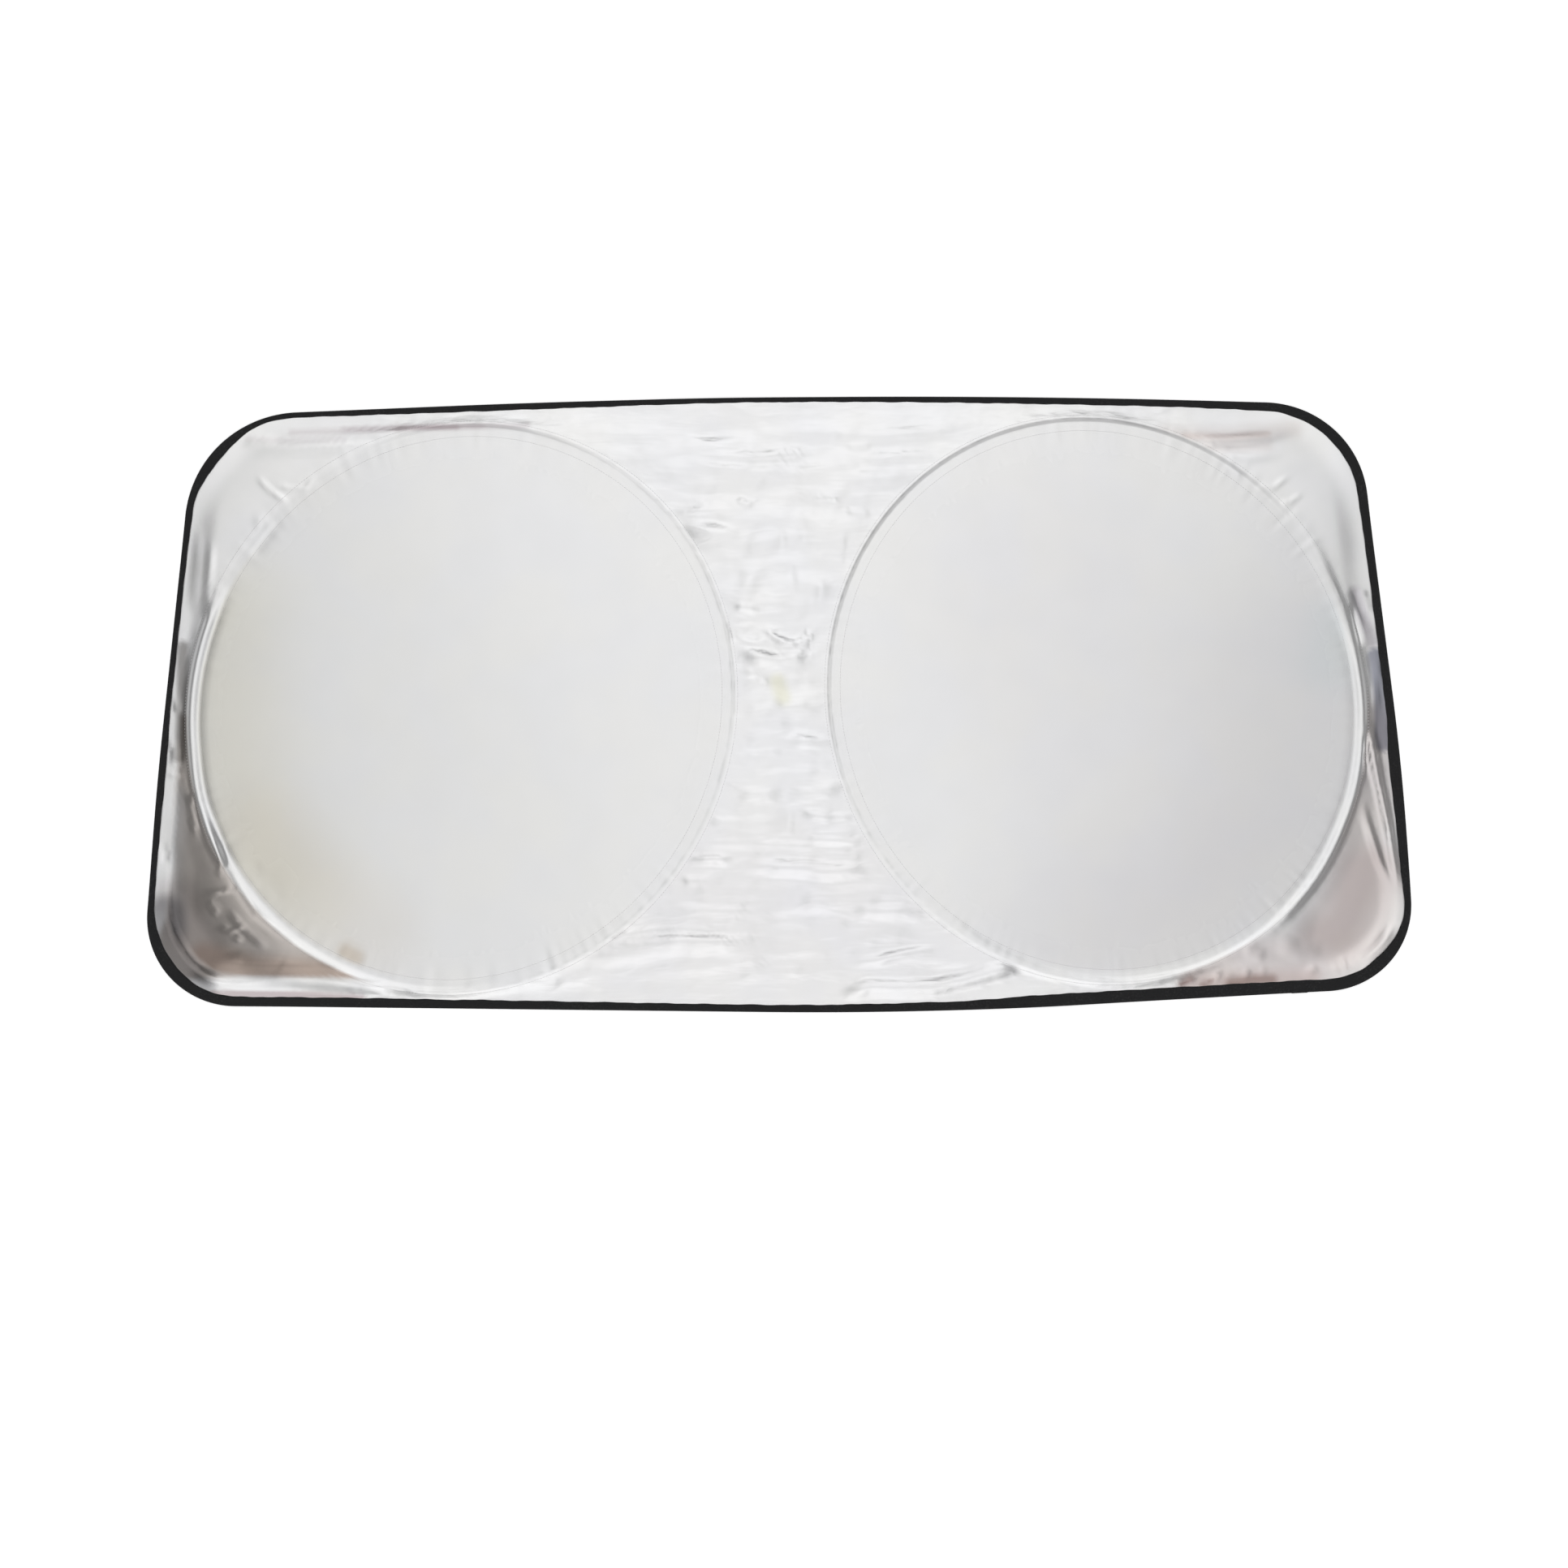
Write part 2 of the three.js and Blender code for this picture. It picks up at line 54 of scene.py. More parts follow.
SHADE_LENGTH = 1450.0
SHADE_HEIGHT = 707.0
HALF_LENGTH = SHADE_LENGTH / 2
HALF_HEIGHT = SHADE_HEIGHT / 2

CLOTH_THICKNESS = 0.4
CLOTH_TOP = 1.2
CLOTH_EDGE = 0.8
BINDING_LIP = 1.5
BINDING_THICKNESS = 2.0
LAP_PLACE = 587.0
LAP_LENGTH = 18.0
LAP_THICKNESS = 0.4


def ease(value: np.ndarray, low: float, high: float) -> np.ndarray:
    """Rises smoothly from 0 to 1 as value goes from low to high: 3t^2 - 2t^3."""
    share = np.clip((value - low) / (high - low), 0.0, 1.0)
    return share * share * (3.0 - 2.0 * share)


def eased_between(stops: np.ndarray, sizes: np.ndarray, value: np.ndarray) -> np.ndarray:
    """Sizes between stops, each step eased from one stop's size to the next.

    Args:
        stops: Rising values at which the sizes are given.
        sizes: A size, or a row of sizes, for each stop.
        value: Where to look, within the stops.

    Returns:
        The size at each value, with a row of sizes on the last axis.
    """
    nxt = np.clip(np.searchsorted(stops, value, side="right"), 1, len(stops) - 1)
    share = ease(value, stops[nxt - 1], stops[nxt])
    if sizes.ndim > 1:
        share = share[..., None]
    return sizes[nxt - 1] + share * (sizes[nxt] - sizes[nxt - 1])


def ripples(x: np.ndarray, y: np.ndarray, seed: int, shortest: float, longest: float,
            spread: float, count: int = 16) -> np.ndarray:
    """Irregular ripples whose crests run along X: the sum of sine waves of random length and phase.

    Args:
        x: Places across the crests' length.
        y: Places along the waves.
        seed: Seed of the random draws.
        shortest: Shortest wave.
        longest: Longest wave.
        spread: Largest turn of a wave away from Y, in radians.
        count: Number of waves.

    Returns:
        Heights whose typical size is 1.
    """
    draw = np.random.default_rng(seed)
    lengths = draw.uniform(shortest, longest, count)
    turns = draw.uniform(-spread, spread, count)
    phases = draw.uniform(0, 2 * math.pi, count)
    total = np.zeros(np.broadcast(x, y).shape)
    for length, turn, phase in zip(lengths, turns, phases):
        total += np.sin((x * math.sin(turn) + y * math.cos(turn)) * 2 * math.pi / length + phase)
    return total / math.sqrt(count / 2)


def along_path(path: tuple[tuple[float, float], ...], x: np.ndarray,
               y: np.ndarray) -> tuple[np.ndarray, np.ndarray, np.ndarray]:
    """Where each point lies against a path of straight steps.

    Args:
        path: The path's points.
        x: Places along the shade.
        y: Places across the shade.

    Returns:
        The distance to the path, a number that is positive on its left, and the share along it.
    """
    line = np.array(path)
    steps = np.diff(line, axis=0)
    lengths = np.linalg.norm(steps, axis=1)
    runs = np.concatenate([[0.0], np.cumsum(lengths)])
    nearest = np.full(x.shape, np.inf)
    side = np.zeros(x.shape)
    along = np.zeros(x.shape)
    for i, step in enumerate(steps):
        from_x, from_y = x - line[i, 0], y - line[i, 1]
        share = np.clip((from_x * step[0] + from_y * step[1]) / lengths[i] ** 2, 0, 1)
        away = np.hypot(from_x - share * step[0], from_y - share * step[1])
        closer = away < nearest
        nearest = np.where(closer, away, nearest)
        side = np.where(closer, step[0] * from_y - step[1] * from_x, side)
        along = np.where(closer, (runs[i] + share * lengths[i]) / runs[-1], along)
    return nearest, side, along


def inside_bound(path: tuple[tuple[float, float], ...], x: np.ndarray, y: np.ndarray) -> np.ndarray:
    """Whether points lie inside a closed bound: a ray to the right crosses it an odd number of times."""
    inside = np.zeros(x.shape, bool)
    for (x0, y0), (x1, y1) in zip(path, path[1:] + path[:1]):
        if y0 != y1:
            crosses = (y0 > y) != (y1 > y)
            inside ^= crosses & (x < x0 + (y - y0) * (x1 - x0) / (y1 - y0))
    return inside


@dataclass(frozen=True)
class Hoop:
    """One spring-wire hoop as a leaning ring, described by a turn in radians.

    Attributes:
        name: Left or right.
        side: -1 for the left half of the shade, 1 for the right.
        end: Gap from the hoop to the end of the shade.
        middle: Gap from the hoop to the middle line.
        top: Gap from the hoop to the top edge.
        bottom: Gap from the hoop to the bottom edge.
        lean_degrees: Phase that leans the ring towards the middle.
    """

    name: str
    side: int
    end: float
    middle: float
    top: float
    bottom: float
    lean_degrees: float = 3.0

    @property
    def across(self) -> float:
        """Half of the ring's width."""
        return (HALF_LENGTH - self.end - self.middle) / 2

    @property
    def up(self) -> float:
        """Half of the ring's height."""
        return (SHADE_HEIGHT - self.top - self.bottom) / 2

    @property
    def centre(self) -> np.ndarray:
        """Middle of the ring."""
        return np.array([self.side * (self.middle + self.across), (self.bottom - self.top) / 2])

    @property
    def lean(self) -> float:
        """Phase of the ring's height against its width, in radians."""
        return -self.side * math.radians(self.lean_degrees)

    @property
    def radius(self) -> float:
        """Mean radius of the ring."""
        return (self.across + self.up) / 2

    def point(self, turn: np.ndarray, offset: np.ndarray | float = 0.0) -> np.ndarray:
        """Places on the ring: centre + (across cos t, up sin(t + lean)), moved along the normal.

        Args:
            turn: Turns in radians.
            offset: Distance outwards from the wire's line.

        Returns:
            Points, with x and y on the last axis.
        """
        normal_x = self.up * np.cos(turn + self.lean)
        normal_y = self.across * np.sin(turn)
        length = np.hypot(normal_x, normal_y)
        x = self.centre[0] + self.across * np.cos(turn) + normal_x / length * offset
        y = self.centre[1] + self.up * np.sin(turn + self.lean) + normal_y / length * offset
        return np.stack([x, y], axis=-1)

    def square(self, x: np.ndarray, y: np.ndarray) -> tuple[np.ndarray, np.ndarray]:
        """Coordinates in which the ring is a circle of radius 1 and doesn't lean."""
        flat_x = (x - self.centre[0]) / self.across
        flat_y = ((y - self.centre[1]) / self.up - flat_x * math.sin(self.lean)) / math.cos(self.lean)
        return flat_x, flat_y

    def turn_towards(self, x: np.ndarray, y: np.ndarray) -> np.ndarray:
        """The turn at which the ring lies in the direction of each point."""
        flat_x, flat_y = self.square(x, y)
        return np.arctan2(flat_y, flat_x)

    def offset_of(self, x: np.ndarray, y: np.ndarray) -> np.ndarray:
        """About how far each point lies outside the wire's line, negative inside it."""
        flat_x, flat_y = self.square(x, y)
        return (np.hypot(flat_x, flat_y) - 1.0) * self.radius


HOOPS = (
    Hoop("left", -1, 48.1, 53.3, 33.8, 25.4),
    Hoop("right", 1, 54.1, 57.7, 27.1, 37.1),
)


@dataclass(frozen=True)
class Bend:
    """One vertex of the outline before rounding.

    Attributes:
        x: Place along the shade.
        y: Place across the shade.
        radius: Radius that rounds the vertex.
        corner: Whether it is one of the four corners.
    """

    x: float
    y: float
    radius: float
    corner: bool


@dataclass
class Outline:
    """The shade's outline: a rounded polygon, counterclockwise, its box centred on the origin.

    Attributes:
        bends: Vertices of the polygon.
        fine_step: Step of the fine line.
        corner_share: Largest share of a side that a corner's arc may take.
        direction_span: Distance on both sides over which the edge's direction is taken.
        widths: Visible width of the binding at directions in degrees.
    """

    bends: tuple[Bend, ...] = (
        Bend(64.6, HALF_HEIGHT + 7, 12800, False),
        Bend(-HALF_LENGTH + 55.6, HALF_HEIGHT - 23.4, 134, True),
        Bend(-HALF_LENGTH + 9, -106.2, 4100, False),
        Bend(-HALF_LENGTH - 6.8, -HALF_HEIGHT + 7.6, 109, True),
        Bend(161.3, -HALF_HEIGHT - 2.5, 5400, False),
        Bend(HALF_LENGTH + 5.3, -HALF_HEIGHT + 29.3, 103, True),
        Bend(HALF_LENGTH - 5.3, -103.3, 2900, False),
        Bend(HALF_LENGTH - 62.7, HALF_HEIGHT - 10.1, 121, True),
    )
    fine_step: float = 1.0
    corner_share: float = 0.45
    direction_span: float = 4.0
    widths: tuple[tuple[float, float], ...] = (
        (0, 9.8), (25, 9.5), (45, 11.7), (59, 8), (90, 5.6), (115, 7.5), (131, 6), (138, 12),
        (145, 8), (155, 6.5), (180, 6.5), (192, 8.4), (211, 7), (221, 13.5), (231, 11), (270, 8.4),
        (285, 10), (294, 14), (318, 14), (326, 8), (337, 11), (348, 13.5), (360, 9.8),
    )

    def __post_init__(self) -> None:
        """Works out the fine line, starting on the middle line at the top."""
        line = self._rounded()
        line -= (line.max(axis=0) + line.min(axis=0)) / 2
        nxt = np.roll(line, -1, axis=0)
        crossing = np.flatnonzero((line[:, 0] > 0) & (nxt[:, 0] <= 0) & (line[:, 1] > 0))[0]
        line = np.roll(line, -crossing - 1, axis=0)
        share = line[-1, 0] / (line[-1, 0] - line[0, 0])
        start = line[-1] + share * (line[0] - line[-1])
        self.line = np.vstack([start, line, start])
        steps = np.linalg.norm(np.diff(self.line, axis=0), axis=1)
        self.run = np.concatenate([[0.0], np.cumsum(steps)])
        x, y = self.line.T
        low = np.flatnonzero((x[:-1] < 0) & (x[1:] >= 0) & (y[:-1] < 0))[0]
        across = self.line[low, 0] / (self.line[low, 0] - self.line[low + 1, 0])
        self.bottom_run = float(self.run[low] + across * (self.run[low + 1] - self.run[low]))
        self.length = float(self.run[-1])

    def _rounded(self) -> np.ndarray:
        """Rounds the polygon: each vertex becomes an arc, which a gentle bend gives up for a corner."""
        points = np.array([[bend.x, bend.y] for bend in self.bends])
        before = np.roll(points, 1, axis=0) - points
        after = np.roll(points, -1, axis=0) - points
        long_before = np.linalg.norm(before, axis=1)
        long_after = np.linalg.norm(after, axis=1)
        cosine = np.sum(before * after, axis=1) / (long_before * long_after)
        half = np.arccos(cosine) / 2
        reach = np.array([bend.radius for bend in self.bends]) / np.tan(half)
        corner = np.array([bend.corner for bend in self.bends])
        most = np.minimum(long_before, long_after) * self.corner_share
        reach = np.where(corner, np.minimum(reach, most), reach)
        room = np.minimum(long_before - np.roll(reach, 1), long_after - np.roll(reach, -1))
        reach = np.where(corner, reach, np.minimum(reach, room))
        pieces = []
        for i, point in enumerate(points):
            towards_before = before[i] / long_before[i]
            towards_after = after[i] / long_after[i]
            radius = reach[i] * math.tan(half[i])
            towards = towards_before + towards_after
            centre = point + towards / np.linalg.norm(towards) * radius / math.sin(half[i])
            start = point + towards_before * reach[i] - centre
            first = math.atan2(start[1], start[0])
            sweep = math.pi - 2 * half[i]
            count = max(2, int(radius * sweep / self.fine_step))
            angles = first + sweep * np.arange(count + 1) / count
            pieces.append(centre + radius * np.stack([np.cos(angles), np.sin(angles)], axis=-1))
        line = []
        for i, piece in enumerate(pieces):
            goal = pieces[(i + 1) % len(pieces)][0]
            gap = np.linalg.norm(goal - piece[-1])
            count = max(1, int(gap / self.fine_step))
            shares = (np.arange(1, count) / count)[:, None]
            line += [piece, piece[-1] + shares * (goal - piece[-1])]
        return np.vstack(line)

    def at(self, run: np.ndarray) -> tuple[np.ndarray, np.ndarray]:
        """Points of the edge and the directions inwards.

        Args:
            run: Distances along the edge from the middle line at the top.

        Returns:
            The points and the unit vectors that point inwards.
        """
        def place(distance: np.ndarray) -> np.ndarray:
            """Points of the edge at the distances."""
            distance = np.mod(distance, self.length)
            return np.stack([np.interp(distance, self.run, self.line[:, k]) for k in (0, 1)], axis=-1)

        along = place(run + self.direction_span) - place(run - self.direction_span)
        along /= np.linalg.norm(along, axis=-1, keepdims=True)
        return place(run), np.stack([-along[..., 1], along[..., 0]], axis=-1)

    def width(self, point: np.ndarray) -> np.ndarray:
        """Visible width of the binding in the direction of each point, eased between the places."""
        direction = np.arctan2(point[..., 1] / HALF_HEIGHT, point[..., 0] / HALF_LENGTH)
        return eased_between(*np.array(self.widths).T, np.degrees(direction) % 360)


@dataclass(frozen=True)
class Lift:
    """A part of the edge that lifts off the ground.

    Attributes:
        at: Centre, as shares of half the length and half the height.
        lift: How far it lifts.
        reach: How far from the centre the lift is felt.
    """

    at: tuple[float, float]
    lift: float
    reach: float


LIFTS = (
    Lift((-0.97, -0.9), 5, 170),
    Lift((0.98, -0.86), 5, 160),
    Lift((0.95, 0.92), 4, 150),
    Lift((-0.95, 0.9), 3.5, 150),
    Lift((0.42, -1), 2.5, 130),
    Lift((-0.1, 1), 2, 140),
)


def edge_lift(x: np.ndarray, y: np.ndarray) -> np.ndarray:
    """How far the edge lifts off the ground at each point: the sum of the eased lifts."""
    total = np.zeros_like(x)
    for part in LIFTS:
        away = np.hypot(x - part.at[0] * HALF_LENGTH, y - part.at[1] * HALF_HEIGHT)
        total += part.lift * ease(part.reach - away, 0, part.reach)
    return total


SHARPNESS = 1.6
CREASE_START = -0.02


class Crest(Enum):
    """How a crease's top is shaped."""

    ROUND = "round"
    SHARP = "sharp"


@dataclass(frozen=True)
class Crease:
    """A fold or wrinkle of the cloth along a path.

    Attributes:
        path: Points along the crest.
        rise: Height of the crest, negative for a valley.
        left: Reach of the slope to the left of the path's direction.
        right: Reach of the slope to its right.
        crest: Whether the crest is round or sharp.
        taper: Share of the length over which each end fades.
    """

    path: tuple[tuple[float, float], ...]
    rise: float
    left: float
    right: float
    crest: Crest = Crest.ROUND
    taper: float = 0.3

    def height(self, x: np.ndarray, y: np.ndarray) -> np.ndarray:
        """Height that the crease adds at each point.

        The nearest point of the path gives the distance and the share along it. A round crest is
        (1 - t^2)^2 of the distance over the reach, and a sharp one (1 - t)^SHARPNESS.
        """
        away, side, along = along_path(self.path, x, y)
        t = np.clip(away / np.where(side > 0, self.left, self.right), 0, 1)
        shape = (1 - t * t) ** 2 if self.crest is Crest.ROUND else (1 - t) ** SHARPNESS
        fade = ease(along, CREASE_START, self.taper) * ease(1 - along, CREASE_START, self.taper)
        return self.rise * shape * fade


ROUND, SHARP = Crest.ROUND, Crest.SHARP
SLACK_CREASES = (
    # Along the top edge over the left hoop
    Crease(((-530, 308), (-485, 310), (-429, 312), (-340, 314), (-250, 318)), 1.0, 7, 8, ROUND, 0.4),
    Crease(((-616, 294), (-569, 294), (-504, 296), (-410, 301)), 0.6, 6, 14),
    Crease(((-623, 302), (-606, 303), (-574, 306)), 0.8, 7, 10, ROUND, 0.4),
    # Left end, beside the binding, from the top down
    Crease(((-666, 212), (-669, 156), (-674, 100)), 0.4, 9, 9),
    Crease(((-650, 193), (-653, 156), (-659, 91)), 0.6, 6, 6),
    Crease(((-682, 156), (-685, 119), (-689, 72)), 0.7, 6, 5),
    Crease(((-697, 16), (-693, -1), (-690, -12)), 1.6, 5, 5, SHARP),
    Crease(((-699, -35), (-694, -54), (-696, -75)), 1.8, 5, 5, SHARP),
    Crease(((-706, -80), (-689, -83)), 1.0, 4, 4, SHARP, 0.2),
    Crease(((-711, -152), (-706, -170), (-706, -184)), -1.2, 4, 4, SHARP),
    Crease(((-680, -94), (-673, -124), (-668, -157)), 1.7, 5, 5, SHARP, 0.35),
    Crease(((-675, -101), (-671, -115)), 1.0, 4, 4, SHARP),
    # Low left corner
    Crease(((-660, -218), (-642, -215), (-621, -211)), 1.5, 6, 6, SHARP),
    Crease(((-656, -223), (-647, -234), (-644, -243)), 1.3, 5, 5, SHARP),
    Crease(((-632, -236), (-619, -250), (-604, -264), (-585, -280)), 1.5, 6, 6, SHARP, 0.25),
    Crease(((-645, -254), (-629, -260), (-610, -253)), 1.4, 5, 5, SHARP),
    Crease(((-644, -185), (-636, -197)), 0.9, 5, 5, SHARP, 0.4),
    Crease(((-625, -264), (-616, -273)), 0.8, 5, 5, SHARP, 0.4),
    Crease(((-662, -299), (-616, -290), (-569, -291), (-518, -301)), 1.4, 10, 9, ROUND, 0.42),
    Crease(((-676, -311), (-615, -313), (-560, -314), (-500, -319), (-440, -329)), 3.6, 18, 16, ROUND, 0.14),
    Crease(((-429, -325), (-407, -335)), 1.5, 7, 7, SHARP),
    Crease(((-655, -110), (-642, -190), (-606, -246), (-560, -280), (-520, -296)), 3.6, 12, 58, ROUND, 0.3),
    # Between the hoops, from the top down
    Crease(((-88, 287), (-51, 285), (-14, 286), (42, 290)), 0.9, 7, 9),
    Crease(((-101, 277), (-65, 272), (-19, 269), (23, 272)), 0.9, 8, 12),
    Crease(((75, 296), (107, 297)), 0.6, 7, 8),
    Crease(((88, 282), (130, 285), (186, 288)), 0.8, 8, 12),
    Crease(((121, 312), (158, 312), (203, 314)), 0.8, 9, 10),
    Crease(((-121, 238), (-84, 233), (-51, 237)), 1.0, 8, 9),
    Crease(((-50, 238), (-39, 231), (-29, 228)), 1.2, 4, 5, SHARP),
    Crease(((37, 234), (54, 239), (71, 234)), 1.0, 5, 5, SHARP),
    Crease(((75, 222), (107, 219)), 0.8, 6, 8),
    Crease(((-123, 221), (-103, 223), (-61, 224)), 1.1, 8, 8, ROUND, 0.42),
    Crease(((-119, 206), (-93, 201), (-65, 196), (-22, 184)), 1.8, 14, 26, ROUND, 0.42),
    Crease(((3, 207), (4, 173)), -0.3, 6, 7),
    Crease(((28, 219), (28, 182)), -0.25, 6, 7),
    Crease(((13, 165), (18, 117)), -0.3, 7, 7),
    Crease(((82, 201), (77, 151)), -0.4, 7, 8),
    Crease(((51, 145), (42, 107)), 0.5, 8, 8),
    Crease(((-51, 114), (-23, 107)), 0.8, 6, 6),
    Crease(((-59, 98), (-54, 83), (-47, 70)), -0.9, 5, 5, SHARP),
    Crease(((-16, 89), (-5, 77), (14, 69), (30, 75), (42, 90)), 1.6, 5, 6, SHARP, 0.2),
    Crease(((-47, 87), (-28, 92)), 0.9, 5, 5, SHARP),
    Crease(((-45, 74), (-26, 70), (-11, 79)), 1.0, 5, 5, SHARP),
    Crease(((-50, 64), (-23, 55), (0, 51), (23, 56), (40, 65)), 1.8, 9, 14, ROUND, 0.42),
    Crease(((-52, 72), (-23, 66), (0, 62), (23, 66), (39, 74)), -0.5, 8, 9, ROUND, 0.42),
    Crease(((24, 49), (40, 72)), -1.0, 4, 5),
    Crease(((-42, 42), (-19, 29), (-13, 21)), 0.7, 7, 7),
    Crease(((-5, -1), (37, 2)), 0.8, 10, 9),
    Crease(((-8, -46), (23, -42), (67, -44)), 1.1, 10, 14, ROUND, 0.42),
    Crease(((0, -35), (23, -32), (63, -33)), -0.35, 8, 9, ROUND, 0.42),
    Crease(((-42, -59), (-19, -55), (5, -51)), 0.9, 7, 8),
    Crease(((-51, -103), (-21, -102), (6, -101)), 1.3, 10, 14, ROUND, 0.42),
    Crease(((7, -102), (37, -101), (76, -92)), 1.3, 10, 14, ROUND, 0.42),
    Crease(((-51, -87), (-21, -85), (6, -86), (37, -83), (70, -78)), -0.45, 8, 7, ROUND, 0.42),
    Crease(((-82, -134), (-42, -135)), 0.6, 8, 9),
    Crease(((23, -122), (56, -129), (88, -128)), 1.0, 7, 9),
    Crease(((47, -156), (84, -158), (98, -154)), 0.7, 6, 8),
    Crease(((11, -105), (12, -129), (12, -163)), -0.3, 5, 6, ROUND, 0.42),
    Crease(((-106, -179), (-75, -178), (-49, -180)), 2.0, 9, 10, ROUND, 0.42),
    Crease(((-51, -184), (9, -189), (56, -193), (121, -189)), 2.2, 15, 13, ROUND, 0.4),
    Crease(((-105, -162), (-75, -160), (0, -161), (107, -166)), -1.1, 8, 7, ROUND, 0.42),
    Crease(((-112, -202), (-82, -202)), 0.9, 7, 7),
    Crease(((-117, -234), (-75, -236), (-14, -236)), 1.0, 8, 10),
    Crease(((79, -234), (116, -236), (142, -235), (177, -243)), 1.1, 10, 12, ROUND, 0.42),
    # Along the bottom edge, between the hoops and below them
    Crease(((-228, -298), (-201, -284), (-173, -277), (-103, -271), (5, -273)), 2.6, 11, 22, ROUND, 0.4),
    Crease(((-238, -288), (-203, -271), (-173, -263), (-103, -256)), -0.8, 7, 6),
    Crease(((-259, -322), (-238, -317), (-205, -308)), 1.1, 6, 6, SHARP),
    Crease(((-336, -325), (-298, -321), (-261, -320)), 0.8, 6, 6),
    Crease(((79, -298), (116, -292), (142, -285), (191, -277)), 1.3, 7, 10, ROUND, 0.42),
    Crease(((70, -334), (102, -324), (135, -325), (177, -324), (219, -314), (282, -297)), 2.8, 13, 14,
           ROUND, 0.14),
    # Along the top edge over the right hoop
    Crease(((434, 307), (466, 303), (513, 302), (559, 306), (596, 316)), 1.1, 10, 9, ROUND, 0.4),
    Crease(((461, 302), (485, 299), (508, 300)), 0.5, 5, 6, SHARP),
    Crease(((450, 294), (490, 286), (540, 284), (578, 285)), 0.6, 7, 9),
    # Right end, beside the binding, from the top down
    Crease(((655, 140), (664, 118), (677, 86)), -1.2, 6, 5, ROUND, 0.42),
    Crease(((656, 119), (662, 91), (669, 63)), -1.3, 4, 4),
    Crease(((668, 135), (681, 100)), 1.4, 5, 5, SHARP),
    Crease(((681, 63), (696, 51)), 1.2, 5, 5, SHARP, 0.2),
    Crease(((692, 46), (693, 16), (696, -26)), -1.6, 4, 5, ROUND, 0.42),
    Crease(((684, 72), (686, 35), (687, -12)), 1.6, 4, 4, SHARP),
    Crease(((675, -18), (682, -54), (688, -88), (696, -124), (704, -161), (714, -217)), 3.1, 8, 9,
           SHARP, 0.16),
    Crease(((673, -31), (674, -63), (678, -96)), -1.6, 4, 5, ROUND, 0.42),
    Crease(((696, -12), (698, -42), (699, -75)), 1.8, 4, 5),
    Crease(((669, -105), (676, -135), (690, -180), (706, -217)), 1.4, 5, 9, ROUND, 0.42),
    # Low right corner, and the puckers along the binding there
    Crease(((664, -306), (687, -282), (708, -252)), 1.8, 9, 12, ROUND, 0.3),
    Crease(((636, -296), (641, -312)), 0.35, 7, 5, SHARP, 0.3),
    Crease(((646, -287), (651, -310)), 0.6, 5, 6, SHARP, 0.3),
    Crease(((660, -284), (664, -300)), 0.25, 5, 5, SHARP, 0.3),
    Crease(((617, -299), (601, -316)), 0.8, 9, 7, SHARP, 0.25),
    Crease(((590, -308), (585, -318)), 0.3, 5, 5, SHARP, 0.3),
    Crease(((557, -300), (553, -316)), 0.35, 6, 5, SHARP, 0.3),
    Crease(((539, -304), (531, -319)), 0.6, 6, 5, SHARP, 0.25),
    Crease(((519, -308), (513, -320)), 0.3, 5, 5, SHARP, 0.25),
    Crease(((506, -308), (497, -321)), 0.8, 6, 5, SHARP, 0.2),
    Crease(((478, -313), (468, -323)), 0.8, 5, 5, SHARP, 0.2),
    Crease(((461, -315), (452, -324)), 0.7, 5, 5, SHARP, 0.2),
    Crease(((438, -317), (430, -325)), 0.5, 5, 5, SHARP, 0.2),
    Crease(((569, -273), (597, -284), (625, -282)), 0.7, 16, 16),
    Crease(((531, -280), (559, -290)), 0.5, 12, 12),
)

CROSSING_CREASES = (
    Crease(((-601, 262), (-583, 245), (-562, 230)), 0.6, 5.5, 6, SHARP),
    Crease(((-582, 253), (-564, 248), (-543, 248), (-533, 260)), 0.55, 5.5, 6, SHARP),
    Crease(((-569, 212), (-583, 197), (-607, 166)), -0.5, 7, 7),
    Crease(((-597, 219), (-599, 198)), 0.2, 6, 6, ROUND, 0.4),
    Crease(((-616, -180), (-588, -203), (-567, -226)), -0.4, 7, 6),
    Crease(((515, 274), (531, 262)), 0.35, 6, 6, SHARP),
    Crease(((541, 247), (567, 249), (586, 263)), 0.5, 6, 6, SHARP, 0.25),
    Crease(((574, 230), (587, 233), (600, 242)), 0.5, 6, 6, SHARP, 0.25),
)


def zipper(left_counts: np.ndarray, right_counts: np.ndarray) -> tuple[np.ndarray, ...]:
    """Joins neighbouring spokes that have different numbers of pieces with triangles.

    Every piece of a spoke is the base of one triangle, whose tip is the point of the other spoke
    that has been reached when the pieces of both are taken in the order of their middles.

    Args:
        left_counts: Number of pieces of each spoke.
        right_counts: Number of pieces of the spoke after it.

    Returns:
        For the pieces of the left spokes and then of the right ones: the number of the spoke, the
        piece, and the point of the other spoke.
    """
    def pieces(counts: np.ndarray) -> tuple[np.ndarray, np.ndarray]:
        """The spoke and the place on it of every piece."""
        spoke = np.repeat(np.arange(len(counts)), counts)
        first = np.concatenate([[0], np.cumsum(counts)[:-1]])
        return spoke, np.arange(counts.sum()) - np.repeat(first, counts)

    spoke_l, piece_l = pieces(left_counts)
    n, m = left_counts[spoke_l], right_counts[spoke_l]
    tip_l = np.clip(-((n - (2 * piece_l + 1) * m) // (2 * n)), 0, m)
    spoke_r, piece_r = pieces(right_counts)
    n, m = left_counts[spoke_r], right_counts[spoke_r]
    tip_r = np.clip(((2 * piece_r + 1) * n + m) // (2 * m), 0, n)
    return spoke_l, piece_l, tip_l, spoke_r, piece_r, tip_r


